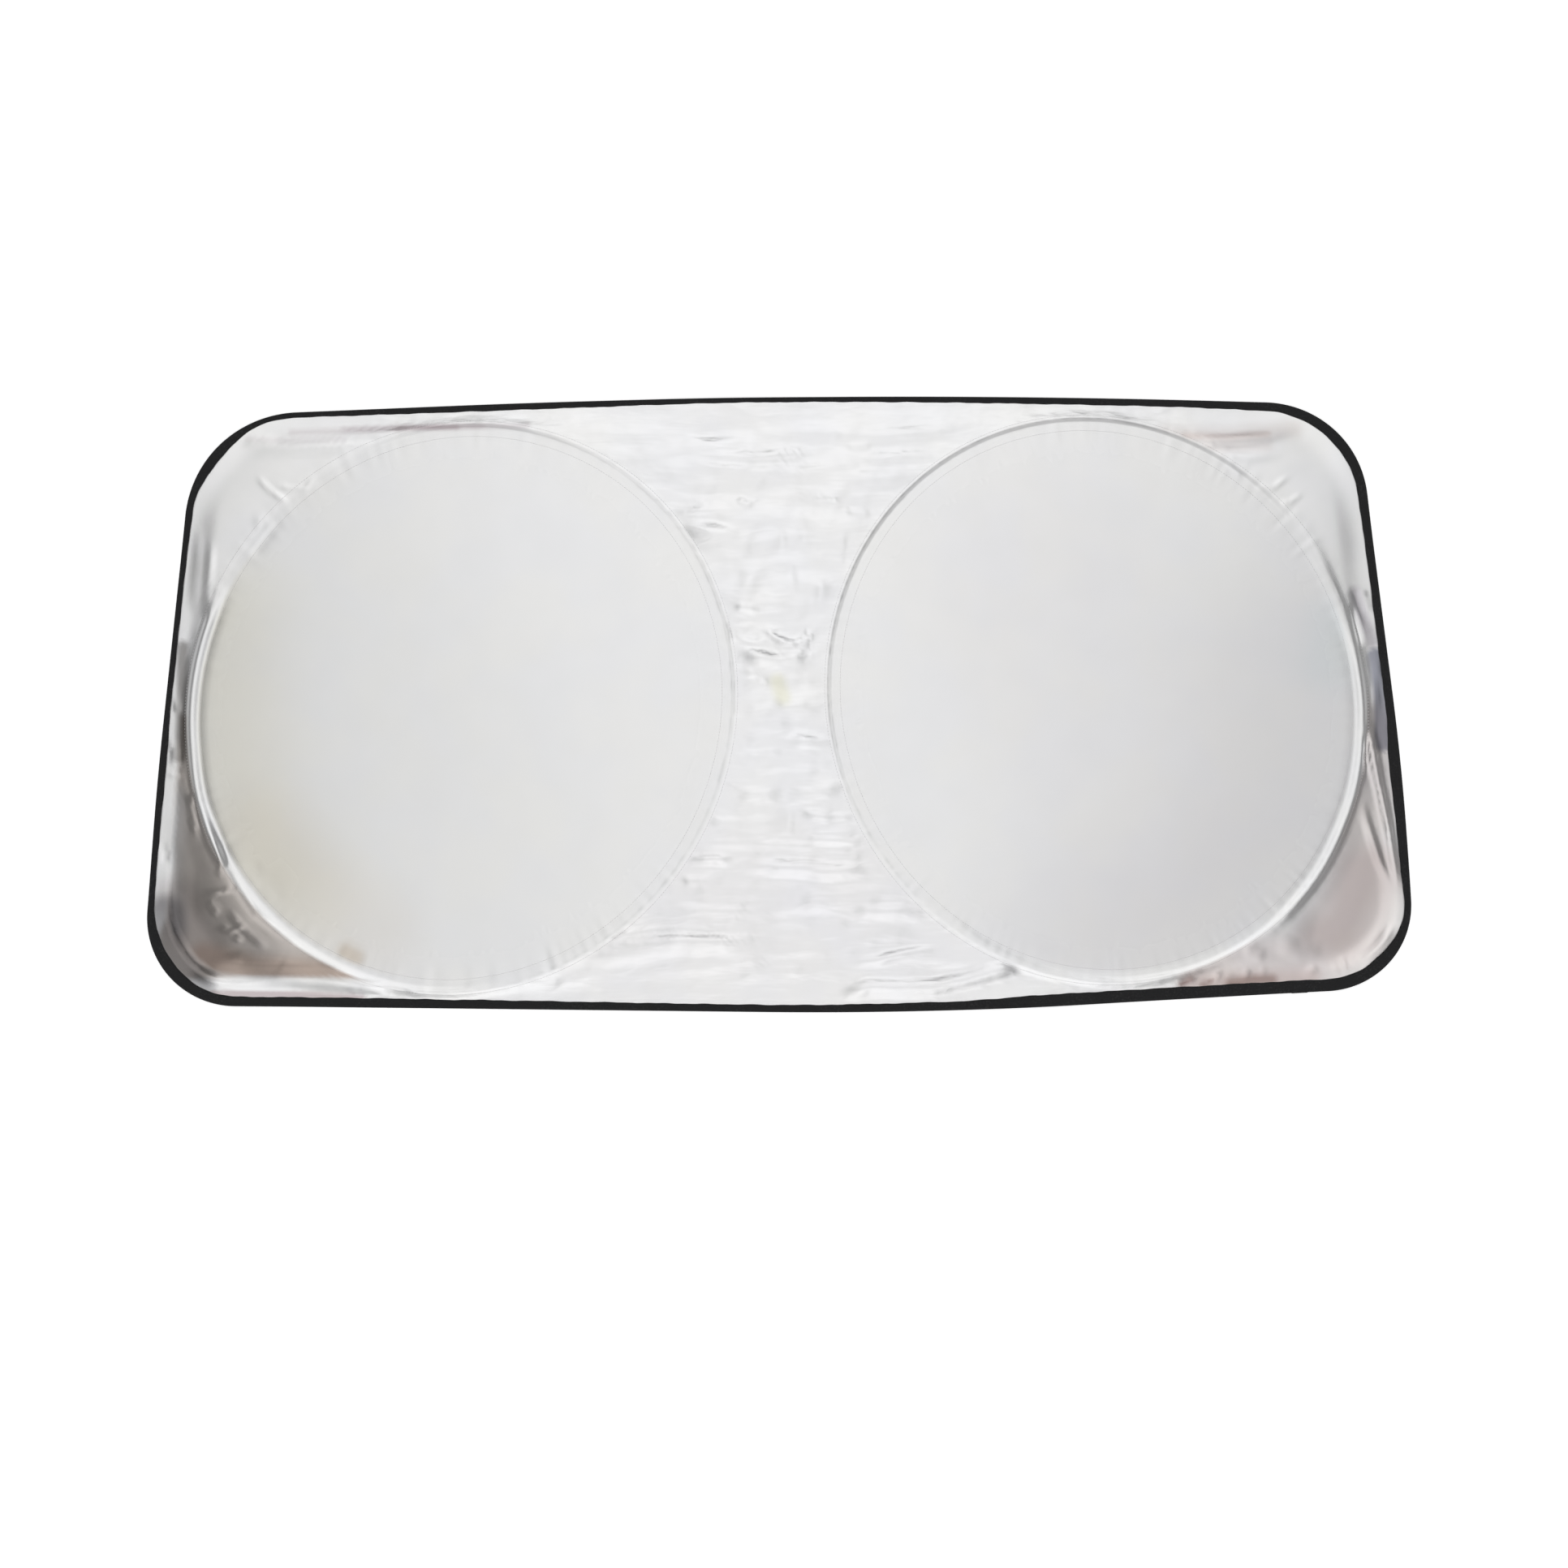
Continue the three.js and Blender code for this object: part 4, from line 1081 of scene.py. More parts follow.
@dataclass
class SilverPanel:
    """The silver cloth: one closed sheet that runs from edge to edge over both hoops.

    Attributes:
        outline: The shade's outline.
        shape: The cloth's height.
        middle_pieces: Pieces of the middle line.
        lip_pieces: Pieces of the line along the binding in each half.
        radial_step: Length of a spoke's pieces in the loose cloth.
        band: Distances from the wire's line at which every spoke has a point.
        disc_rings: Size of each ring of the disc as a share of the band's inner ring, and 2 where
            every second point is left out.
        band_gap: Least distance from the band to the loop.
        least_band: Least share of its offsets outside the wire that the band keeps.
        crumple_from: Offsets from the wire over which the fine wrinkles start.
        crumple_ends: Distances from the middle line over which they weaken.
        smoother_ends: Share of the fine wrinkles that the ends lose.
    """

    outline: Outline
    shape: ClothShape
    middle_pieces: int = 180
    lip_pieces: int = 532
    radial_step: float = 4.4
    band: tuple[float, ...] = (
        -38.0, -30.0, -23.0, -17.0, -13.5, -10.6, -8.6, -6.6, -4.6, -2.6, -0.8, 0.6, 2.0, 3.6, 5.4, 7.6,
        10.6, 15.0)
    disc_rings: tuple[tuple[float, int], ...] = (
        (0.93, 2), (0.86, 1), (0.79, 2), (0.75, 1), (0.66, 1), (0.56, 2), (0.45, 1), (0.33, 1), (0.2, 1),
        (0.08, 1))
    band_gap: float = 1.0
    least_band: float = 0.3
    crumple_from: tuple[float, float] = (-6, 4)
    crumple_ends: tuple[float, float] = (380, 540)
    smoother_ends: float = 0.85

    def _half(self, hoop: Hoop, places: np.ndarray, loop: np.ndarray,
              first: int) -> tuple[np.ndarray, np.ndarray]:
        """Points and triangles of one half of the sheet, from its hoop's centre to its bounds.

        Spokes run from the hoop to the points of the loop. Near the wire every spoke has a point
        at each offset of the band, drawn in where the lip is close. Beyond it a spoke is divided by
        its length, and inside it the rings lose half of their points now and then.

        Args:
            hoop: The hoop in this half.
            places: Points of the loop that bounds the half.
            loop: Their numbers in the whole mesh.
            first: The number that the first new point gets.

        Returns:
            The new points and the triangles.
        """
        spokes = len(loop)
        turn = hoop.turn_towards(places[:, 0], places[:, 1])
        offsets = np.array(self.band)[None, :]
        free = hoop.offset_of(places[:, 0], places[:, 1]) - self.band_gap
        room = np.clip(free / self.band[-1], self.least_band, 1.0)[:, None]
        band = hoop.point(turn[:, None], np.where(offsets > 0, offsets * room, offsets))
        band_index = first + np.arange(band.shape[0] * band.shape[1]).reshape(band.shape[:2])
        new = [band.reshape(-1, 2)]
        total = first + band_index.size
        faces = [ring_quads(band_index[:, k], band_index[:, k + 1]) for k in range(len(self.band) - 1)]

        start = band[:, -1]
        length = np.linalg.norm(places - start, axis=1)
        count = np.maximum(2, np.round(length / self.radial_step)).astype(int)
        inside = count - 1
        spoke = np.repeat(np.arange(spokes), inside)
        base = np.concatenate([[0], np.cumsum(inside)[:-1]])
        step = np.arange(inside.sum()) - np.repeat(base, inside) + 1
        share = (step / count[spoke])[:, None]
        new.append(start[spoke] + share * (places - start)[spoke])

        def number(which: np.ndarray, k: np.ndarray) -> np.ndarray:
            """Number of the k-th point of a spoke, from the band's edge to the loop."""
            which = which % spokes
            between = total + base[which] + k - 1
            return np.where(k == 0, band_index[which, -1], np.where(k == count[which], loop[which], between))

        spoke_l, piece_l, tip_l, spoke_r, piece_r, tip_r = zipper(count, np.roll(count, -1))
        faces.append(np.stack([number(spoke_l, piece_l), number(spoke_l, piece_l + 1),
                               number(spoke_l + 1, tip_l)], axis=-1))
        faces.append(np.stack([number(spoke_r + 1, piece_r + 1), number(spoke_r + 1, piece_r),
                               number(spoke_r, tip_r)], axis=-1))
        total += int(inside.sum())

        ring, ring_places = band_index[:, 0], band[:, 0]
        for share, skip in self.disc_rings:
            ring_places = ring_places[::skip]
            index = total + np.arange(len(ring_places))
            new.append(hoop.centre + (ring_places - hoop.centre) * share)
            faces.append(halving_ring(index, ring) if skip == 2 else ring_quads(index, ring))
            total += len(index)
            ring = index
        new.append(hoop.centre[None, :])
        pole = np.full(len(ring), total)
        faces.append(np.stack([pole, ring, np.roll(ring, -1)], axis=-1))
        return np.vstack(new), np.vstack(faces)

    def upper_face(self) -> tuple[np.ndarray, np.ndarray, np.ndarray]:
        """Places and triangles of the upper face, and the numbers of the points round its edge."""
        bottom = self.outline.bottom_run
        left_run = np.linspace(0, bottom, self.lip_pieces + 1)
        right_run = np.linspace(bottom, self.outline.length, self.lip_pieces + 1)
        run = np.concatenate([left_run[:-1], right_run[:-1]])
        edge, inwards = self.outline.at(run)
        width = self.outline.width(edge)[:, None]
        lip = edge + inwards * (width + BINDING_LIP)
        lip[0, 0] = lip[self.lip_pieces, 0] = 0.0
        hem = edge + inwards * CLOTH_EDGE
        share = (np.arange(1, self.middle_pieces) / self.middle_pieces)[:, None]
        middle = lip[0] + share * (lip[self.lip_pieces] - lip[0])

        around = len(run)
        lip_index = np.arange(around)
        hem_index = around + np.arange(around)
        middle_index = 2 * around + np.arange(len(middle))
        points = [lip, hem, middle]
        faces = [ring_quads(lip_index, hem_index)]
        total = 2 * around + len(middle)
        loops = (
            np.concatenate([lip_index[:self.lip_pieces + 1], middle_index[::-1]]),
            np.concatenate([lip_index[self.lip_pieces:], [0], middle_index]),
        )
        shared = np.vstack(points)
        for hoop, loop in zip(HOOPS, loops):
            new, triangles = self._half(hoop, shared[loop], loop, total)
            points.append(new)
            faces.append(triangles)
            total += len(new)
        return np.vstack(points), np.vstack(faces), hem_index

    def build(self) -> bpy.types.Object:
        """Builds the closed sheet: the upper face, the same face lowered, and the rim between."""
        flat, faces, rim = self.upper_face()
        x, y = flat[:, 0], flat[:, 1]
        top = np.column_stack([flat, self.shape.height(x, y)])
        count = len(top)
        under = top - [0, 0, CLOTH_THICKNESS]
        wall = ring_quads(rim, rim + count)
        points = np.vstack([top, under])
        every = np.vstack([faces, faces[:, ::-1] + count, wall])
        piece = make_object("silver_cloth_panel", points, every)
        piece.data.polygons.foreach_set(
            "material_index", np.repeat([0, 1, 0], [len(faces), len(faces), len(wall)]).astype(np.int32))
        offset = np.where(x < 0, HOOPS[0].offset_of(x, y), HOOPS[1].offset_of(x, y))
        # Colour factors of painted shade, a painted highlight and a few stains, for the front face only.
        tint = silver_tint(x, y, offset, self.shape.lip_distance(x, y))
        at_ends = ease(np.abs(x), *self.crumple_ends)
        slack = ease(offset, *self.crumple_from) * (1 - self.smoother_ends * at_ends)
        add_numbers(piece, "slack", np.tile(slack, 2))
        add_colours(piece, "tint", np.vstack([tint, np.ones_like(tint)]))
        return piece

    def dress(self, panel: bpy.types.Object, effects: "Effects") -> None:
        """Gives the front and the back of the sheet their finishes."""
        front = SilverCloth("silver_cloth_front", (0.884, 0.885, 0.892, 1), 0.22, 0.75)
        back = SilverCloth("silver_cloth_back", (0.42, 0.42, 0.43, 1), 0.55, 0.2, shows_painted_shade_and_stains=False)
        for finish in (front, back):
            panel.data.materials.append(finish.build(effects))


@dataclass
class Binding:
    """Black woven tape folded over the edge all round, its end lapped over its start.

    Attributes:
        outline: The shade's outline.
        station_count: Number of sections round the edge.
        wall: Thickness of the tape.
        lap_ramp: Distance over which the lap rises, on each side of its ends.
    """

    outline: Outline
    station_count: int = 1150
    wall: float = 0.5
    lap_ramp: float = 0.4

    def stations(self) -> tuple[np.ndarray, np.ndarray, np.ndarray, np.ndarray, np.ndarray]:
        """Distances along the edge, points, directions inwards, widths and how far lapped."""
        run = np.linspace(0, self.outline.length, self.station_count, endpoint=False)
        point, inwards = self.outline.at(run)
        lap_start = run[np.argmin(np.where(point[:, 1] < 0, np.abs(point[:, 0] - LAP_PLACE), np.inf))]
        begin = lap_start + np.array([-self.lap_ramp, self.lap_ramp])
        finish = begin + LAP_LENGTH
        run = np.sort(np.concatenate([run, begin, finish]))
        point, inwards = self.outline.at(run)
        lapped = ease(run, *begin) * (1 - ease(run, *finish))
        return run, point, inwards, self.outline.width(point), lapped

    def build(self) -> bpy.types.Object:
        """Carries the folded section round the edge.

        The section is a narrow U: bottom lip, rounded outer fold, slightly crowned top, rolled
        top lip and the slot that holds the cloth.
        """
        run, point, inwards, width, lapped = self.stations()
        thick = BINDING_THICKNESS
        wave = 0.25 * np.sin(run / 9.7 + 1.3 * np.sin(run / 61))
        wave += 0.2 * np.sin(run / 4.1 + 2 * np.sin(run / 37))
        lip = width + wave
        crown = 0.16 + 0.08 * np.sin(run / 13.0 + np.sin(run / 29))
        ones = np.ones_like(run)
        wall = self.wall
        inset = np.stack([
            lip, 1.2 * ones, 0.45 * ones, 0.1 * ones, 0 * ones, 0.12 * ones, 0.5 * ones, 1.3 * ones,
            lip * 0.35, lip * 0.7, lip - 0.9, lip - 0.2, lip, lip - 0.1,
            1.1 * ones, 0.6 * ones, 0.6 * ones, 1.1 * ones, lip - 0.1,
        ], axis=-1)
        height = np.stack([
            0 * ones, 0 * ones, 0.12 * ones, 0.5 * ones, 1.0 * ones, 1.55 * ones, (thick - 0.1) * ones,
            thick + crown * 0.5, thick + crown, thick + crown, thick + crown * 0.5, thick - 0.05 * ones,
            thick - 0.25 * ones, (thick - wall) * ones,
            (thick - wall) * ones, (thick - wall - 0.25) * ones, (wall + 0.25) * ones, wall * ones,
            wall * ones,
        ], axis=-1)
        number = np.arange(inset.shape[1])
        on_top = (number >= 4) & (number <= 12)
        outside = (number >= 2) & (number <= 6)
        lap = (LAP_THICKNESS * lapped)[:, None]
        height = height + lap * on_top
        inset = inset - lap * outside
        lift = edge_lift(point[:, 0], point[:, 1])
        place = point[:, None, :] + inwards[:, None, :] * inset[..., None]
        points = np.concatenate([place, (height + lift[:, None])[..., None]], axis=-1)
        return carried_section("edge_binding_tape", points, run, self.outline.length)

    def dress(self, tape: bpy.types.Object, effects: "Effects") -> None:
        """Gives the tape its finish."""
        finish = WovenTape("binding_tape", (0.012, 0.012, 0.013, 1), 0.85)
        tape.data.materials.append(finish.build(effects))


@dataclass
class CasingTape:
    """Woven tape under the cloth all round a hoop, on which the wire lies.

    Attributes:
        hoop: The hoop.
        stations: Number of sections round the hoop.
        section: Offset from the wire's line and height of each point of the section.
    """

    hoop: Hoop
    stations: int = 300
    section: tuple[tuple[float, float], ...] = (
        (-12.0, 0.04), (-7.0, 0.02), (-1.0, 0.02), (4.9, 0.04), (5.4, 0.15), (5.4, 0.36), (4.9, 0.48),
        (1.0, 0.5), (-4.0, 0.5), (-11.9, 0.48), (-12.4, 0.36), (-12.4, 0.15))

    def build(self) -> bpy.types.Object:
        """Carries a thin rounded section round the hoop, with edges that wave a little."""
        turn = np.linspace(0, 2 * math.pi, self.stations, endpoint=False)
        offset, height = np.array(self.section).T
        wave = 0.2 * np.sin(17 * turn + 1.5 * np.sin(5 * turn))
        place = self.hoop.point(turn[:, None], offset[None, :] + wave[:, None])
        points = np.concatenate([place, np.broadcast_to(height, place.shape[:2])[..., None]], axis=-1)
        length = 2 * math.pi * self.hoop.radius
        return carried_section(f"{self.hoop.name}_casing_band", points, turn * self.hoop.radius, length)

    def dress(self, band: bpy.types.Object, effects: "Effects") -> None:
        """Gives the tape its finish."""
        finish = WovenTape(f"{self.hoop.name}_casing_weave", (0.016, 0.016, 0.017, 1), 0.8)
        band.data.materials.append(finish.build(effects))


@dataclass
class Seams:
    """Rows of stitches: short threads that bow up and dip into the cloth at both ends.

    Attributes:
        outline: The shade's outline.
        shape: The cloth's height.
        pitch: Distance from stitch to stitch.
        stitch: Length of a stitch.
        thread_radius: Radius of the thread.
        bow: How far a stitch bows up.
        dip: How deep its ends go into the cloth.
        rings: Rings of points along a stitch.
        sides: Points in a ring.
        hoop_rows: Distances of the rows from a wire's line.
        binding_inset: Distance of the binding's row from the tape's inner lip.
        tape_crown: How high that row lies over the tape's plain thickness.
        chord: Turn on each side of a stitch that gives its direction, in radians.
    """

    outline: Outline
    shape: ClothShape
    pitch: float = 3.5
    stitch: float = 2.7
    thread_radius: float = 0.2
    bow: float = 0.16
    dip: float = 0.15
    rings: int = 4
    sides: int = 4
    hoop_rows: tuple[float, float] = (-12.2, 5.6)
    binding_inset: float = 2.2
    tape_crown: float = 0.12
    chord: float = 0.004

    def _stitch(self) -> tuple[np.ndarray, np.ndarray]:
        """One stitch along X: a spindle of radius sqrt(sin(pi t)), bowed up by sin(pi t)."""
        share = np.arange(1, self.rings + 1) / (self.rings + 1)
        angle = 2 * math.pi * (np.arange(self.sides) + 0.5) / self.sides
        wide = self.thread_radius * np.sqrt(np.sin(math.pi * share))
        x = np.repeat((share - 0.5) * self.stitch, self.sides)
        y = (wide[:, None] * np.cos(angle)).ravel()
        z = (wide[:, None] * np.sin(angle) + self.bow * np.sin(math.pi * share)[:, None]).ravel()
        tips = np.array([[-self.stitch / 2, 0, -self.dip], [self.stitch / 2, 0, -self.dip]])
        index = np.arange(self.rings * self.sides).reshape(self.rings, self.sides)
        side = np.roll(index, -1, axis=1)
        start, finish = np.full(self.sides, index.size), np.full(self.sides, index.size + 1)
        faces = [
            np.stack([index[:-1], side[:-1], side[1:]], axis=-1).reshape(-1, 3),
            np.stack([index[:-1], side[1:], index[1:]], axis=-1).reshape(-1, 3),
            np.stack([start, side[0], index[0]], axis=-1),
            np.stack([finish, index[-1], side[-1]], axis=-1),
        ]
        return np.vstack([np.column_stack([x, y, z]), tips]), np.vstack(faces)

    def _rows(self, name: str, centres: np.ndarray, along: np.ndarray) -> bpy.types.Object:
        """Copies the stitch to every centre, turned along its row."""
        points, faces = self._stitch()
        along = along / np.linalg.norm(along, axis=1, keepdims=True)
        across = np.stack([-along[:, 1], along[:, 0]], axis=1)
        flat = along[:, None, :] * points[None, :, :1] + across[:, None, :] * points[None, :, 1:2]
        high = np.broadcast_to(points[None, :, 2:], (len(centres), len(points), 1))
        placed = centres[:, None, :] + np.concatenate([flat, high], axis=-1)
        steps = np.arange(len(centres))[:, None, None] * len(points)
        return make_object(name, placed.reshape(-1, 3), (faces[None] + steps).reshape(-1, 3))

    def binding_seam(self) -> bpy.types.Object:
        """The row of stitches along the binding's inner lip."""
        run = np.arange(0, self.outline.length - self.pitch / 2, self.pitch)
        point, inwards = self.outline.at(run)
        place = point + inwards * (self.outline.width(point) - self.binding_inset)[:, None]
        lift = edge_lift(point[:, 0], point[:, 1])
        lapped = (point[:, 1] < 0) & (np.abs(point[:, 0] - LAP_PLACE - LAP_LENGTH / 2) < LAP_LENGTH / 2)
        height = BINDING_THICKNESS + self.tape_crown + lift + LAP_THICKNESS * lapped
        along = np.stack([inwards[:, 1], -inwards[:, 0]], axis=1)
        return self._rows("binding_seam", np.column_stack([place, height]), along)

    def hoop_seams(self, hoop: Hoop) -> bpy.types.Object:
        """The two rows of stitches that sew the casing under the cloth, inside and outside the wire."""
        count = int(2 * math.pi * hoop.radius / self.pitch)
        turn = np.tile(2 * math.pi * np.arange(count) / count, len(self.hoop_rows))
        offset = np.repeat(self.hoop_rows, count)
        place = hoop.point(turn, offset)
        along = hoop.point(turn + self.chord, offset) - hoop.point(turn - self.chord, offset)
        height = self.shape.height(place[:, 0], place[:, 1])
        return self._rows(f"{hoop.name}_hoop_seams", np.column_stack([place, height]), along)


class NodeBuilder:
    """Adds nodes to one node tree and links them in the same call."""

    def __init__(self, tree: bpy.types.NodeTree) -> None:
        """Keeps the tree's nodes and links."""
        self.nodes, self.links = tree.nodes, tree.links

    def add(self, kind: str, inputs: dict | None = None, **settings: object) -> bpy.types.Node:
        """Adds a node.

        Args:
            kind: The node's type.
            inputs: Values or sockets for its inputs, by name or number.
            settings: Its properties.

        Returns:
            The node.
        """
        node = self.nodes.new(kind)
        for key, value in settings.items():
            setattr(node, key, value)
        for key, value in (inputs or {}).items():
            if isinstance(value, bpy.types.NodeSocket):
                self.links.new(value, node.inputs[key])
            else:
                node.inputs[key].default_value = value
        return node

    def math(self, operation: str, a: object, b: object = 0.0) -> bpy.types.NodeSocket:
        """One math node over two sockets or numbers."""
        return self.add("ShaderNodeMath", {0: a, 1: b}, operation=operation).outputs[0]

    def smooth(self, value: object, low: float, high: float, start: object = 0.0,
               finish: object = 1.0) -> bpy.types.NodeSocket:
        """Eases from start to finish as value goes from low to high."""
        ends = {"Value": value, "From Min": low, "From Max": high, "To Min": start, "To Max": finish}
        return self.add("ShaderNodeMapRange", ends, interpolation_type="SMOOTHSTEP").outputs["Result"]

    def blend(self, kind: str, factor: object, a: object, b: object) -> bpy.types.NodeSocket:
        """Mixes two colours in the named way."""
        inputs = {0: factor, 6: a, 7: b}
        return self.add("ShaderNodeMix", inputs, data_type="RGBA", blend_type=kind).outputs[2]

    def noise(self, vector: object, scale: object, detail: float = 2.0) -> bpy.types.NodeSocket:
        """The value of a noise texture."""
        inputs = {"Vector": vector, "Scale": scale, "Detail": detail}
        return self.add("ShaderNodeTexNoise", inputs).outputs[0]

    def effect(self, tree: bpy.types.NodeTree, vector: object, inputs: dict) -> object:
        """Places a shared effect over the vector with its own values, and gives its outputs."""
        return self.add("ShaderNodeGroup", {"Vector": vector, **inputs}, node_tree=tree).outputs

    def bump(self, strength: float, distance: float, height: bpy.types.NodeSocket,
             under: dict | None = None) -> bpy.types.NodeSocket:
        """The normal of a bump, over another normal where under holds one."""
        inputs = {"Strength": strength, "Distance": distance, "Height": height, **(under or {})}
        return self.add("ShaderNodeBump", inputs).outputs["Normal"]


def new_group(name: str, inputs: dict[str, str],
              outputs: dict[str, str]) -> tuple[bpy.types.NodeTree, NodeBuilder]:
    """Starts a shader node group with named sockets.

    Args:
        name: The group's name.
        inputs: Socket types by name.
        outputs: Socket types by name.

    Returns:
        The group and a builder for it.
    """
    group = bpy.data.node_groups.new(name, "ShaderNodeTree")
    for in_out, sockets in (("INPUT", inputs), ("OUTPUT", outputs)):
        for key, kind in sockets.items():
            group.interface.new_socket(key, in_out=in_out, socket_type="NodeSocket" + kind)
    return group, NodeBuilder(group)


@dataclass
class Effects:
    """The surface effects that the finishes share, each a node group built once.

    Attributes:
        weave: Threads over and under each other.
        crumple: Small sharp wrinkles and soft dents.
        mottle: Slow changes of tone and gloss.
        scuff: Fine specks of wear, where a slower noise is high.
    """

    weave: bpy.types.NodeTree | None = None
    crumple: bpy.types.NodeTree | None = None
    mottle: bpy.types.NodeTree | None = None
    scuff: bpy.types.NodeTree | None = None

    def build(self) -> "Effects":
        """Builds the four groups."""
        self._weave()
        self._crumple()
        self._mottle()
        self._scuff()
        return self

    def _weave(self) -> None:
        """Height of a plain weave: cos(2 pi u) cos(2 pi v) of the place over the threads' pitches."""
        group, make = new_group("woven_threads", {"Vector": "Vector", "Pitch U": "Float", "Pitch V": "Float"},
                                {"Height": "Float", "Gap": "Float"})
        start = make.add("NodeGroupInput").outputs
        place = make.add("ShaderNodeSeparateXYZ", {0: start["Vector"]}).outputs
        turn = 2 * math.pi
        u = make.math("COSINE", make.math("DIVIDE", make.math("MULTIPLY", place[0], turn), start["Pitch U"]))
        v = make.math("COSINE", make.math("DIVIDE", make.math("MULTIPLY", place[1], turn), start["Pitch V"]))
        height = make.math("MULTIPLY", u, v)
        gap = make.smooth(height, -1.0, -0.5, 1.0, 0.0)
        make.add("NodeGroupOutput", {"Height": height, "Gap": gap})
        self.weave = group

    def _crumple(self) -> None:
        """Height of wrinkles: a ridged noise stretched along X for creases, and a soft one for dents."""
        group, make = new_group("fine_crumple", {"Vector": "Vector", "Scale": "Float", "Amount": "Float"},
                                {"Height": "Float"})
        start = make.add("NodeGroupInput").outputs
        stretch = {"Vector": start["Vector"], "Scale": (0.32, 1.0, 1.0)}
        long = make.add("ShaderNodeMapping", stretch).outputs[0]
        sharp = make.noise(long, start["Scale"], 3.0)
        folded = make.math("ABSOLUTE", make.math("SUBTRACT", sharp, 0.5))
        soft = make.noise(start["Vector"], make.math("MULTIPLY", start["Scale"], 0.45), 2.0)
        height = make.math("SUBTRACT", make.math("MULTIPLY", soft, 1.2), make.math("MULTIPLY", folded, 2.2))
        make.add("NodeGroupOutput", {"Height": make.math("MULTIPLY", height, start["Amount"])})
        self.crumple = group

    def _mottle(self) -> None:
        """A tone that drifts between two colours, and a gloss value, from two slow noises."""
        group, make = new_group(
            "slow_mottle", {"Vector": "Vector", "Scale": "Float", "Colour A": "Color", "Colour B": "Color"},
            {"Colour": "Color", "Value": "Float"})
        start = make.add("NodeGroupInput").outputs
        slow = make.noise(start["Vector"], start["Scale"], 2.0)
        share = make.smooth(slow, 0.35, 0.65)
        colour = make.blend("MIX", share, start["Colour A"], start["Colour B"])
        gloss = make.noise(start["Vector"], make.math("MULTIPLY", start["Scale"], 2.7), 4.0)
        make.add("NodeGroupOutput", {"Colour": colour, "Value": gloss})
        self.mottle = group

    def _scuff(self) -> None:
        """A mask of worn specks: fine noise kept where a slower noise is high."""
        group, make = new_group("scuffed_specks", {"Vector": "Vector", "Scale": "Float", "Amount": "Float"},
                                {"Mask": "Float"})
        start = make.add("NodeGroupInput").outputs
        fine = make.noise(start["Vector"], start["Scale"], 5.0)
        slow = make.noise(start["Vector"], make.math("MULTIPLY", start["Scale"], 0.06), 1.0)
        both = make.math("MULTIPLY", make.smooth(fine, 0.52, 0.68), make.smooth(slow, 0.42, 0.62))
        make.add("NodeGroupOutput", {"Mask": make.math("MULTIPLY", both, start["Amount"])})
        self.scuff = group


@dataclass(frozen=True)
class Finish:
    """What every finish has: a name, a colour, how rough and how metallic it is.

    Attributes:
        name: The material's name.
        colour: Base colour.
        roughness: Roughness of the shader.
        metallic: Share of metal.
    """

    name: str
    colour: tuple[float, float, float, float]
    roughness: float
    metallic: float = 0.0

    def start(self) -> tuple[bpy.types.Material, NodeBuilder, bpy.types.Node]:
        """Makes the material with a Principled shader that has the plain values."""
        material = bpy.data.materials.new(self.name)
        material.use_nodes = True
        material.node_tree.nodes.clear()
        make = NodeBuilder(material.node_tree)
        shader = make.add("ShaderNodeBsdfPrincipled", {
            "Base Color": self.colour, "Roughness": self.roughness, "Metallic": self.metallic})
        make.add("ShaderNodeOutputMaterial", {"Surface": shader.outputs[0]})
        return material, make, shader

    def darker(self, share: float) -> tuple[float, ...]:
        """The colour times a share."""
        return tuple(part * share for part in self.colour[:3]) + (1,)


@dataclass(frozen=True)
class SilverCloth(Finish):
    """Silver-coated cloth: fine weave, crumples where it is slack, painted shade, a painted highlight and
    stains, and a drifting tone.

    Attributes:
        shows_painted_shade_and_stains: Whether the painted shade, the painted highlight and the stains show
            on this face.
        crumple_depth: Depth of the fine wrinkles on slack cloth, in metres.
        crumple_scale: Scale of those wrinkles.
        mottle_scale: Scale of the drifting tone.
        thread_pitch: Pitch of the weave, in metres.
    """

    shows_painted_shade_and_stains: bool = True
    crumple_depth: float = 0.0007
    crumple_scale: float = 46.0
    mottle_scale: float = 9.0
    thread_pitch: float = 0.0011

    def build(self, effects: Effects) -> bpy.types.Material:
        """Builds the material."""
        material, make, shader = self.start()
        place = make.add("ShaderNodeTexCoord").outputs["Object"]
        slack = make.add("ShaderNodeAttribute", attribute_name="slack").outputs["Fac"]
        mottle = make.effect(effects.mottle, place, {
            "Scale": self.mottle_scale, "Colour A": (1.0, 0.995, 0.98, 1),
            "Colour B": (0.985, 0.985, 0.988, 1)})
        colour = make.blend("MULTIPLY", 1.0, self.colour, mottle["Colour"])
        # The tint attribute carries painted shade, a painted highlight and a few stains.
        if self.shows_painted_shade_and_stains:
            tint = make.add("ShaderNodeAttribute", attribute_name="tint").outputs["Color"]
            colour = make.blend("MULTIPLY", 1.0, colour, tint)
        make.links.new(colour, shader.inputs["Base Color"])
        rough = make.smooth(mottle["Value"], 0.3, 0.7, self.roughness - 0.012, self.roughness + 0.015)
        rough = make.math("ADD", rough, make.math("MULTIPLY", slack, 0.03))
        make.links.new(rough, shader.inputs["Roughness"])
        amount = make.smooth(slack, 0.0, 1.0, 0.04, 1.0)
        crumple = make.effect(effects.crumple, place, {"Scale": self.crumple_scale, "Amount": amount})
        bump = make.bump(1.0, self.crumple_depth, crumple["Height"])
        pitches = {"Pitch U": self.thread_pitch, "Pitch V": self.thread_pitch}
        weave = make.effect(effects.weave, place, pitches)
        fine = make.bump(0.5, 0.00002, weave["Height"], {"Normal": bump})
        make.links.new(fine, shader.inputs["Normal"])
        return material


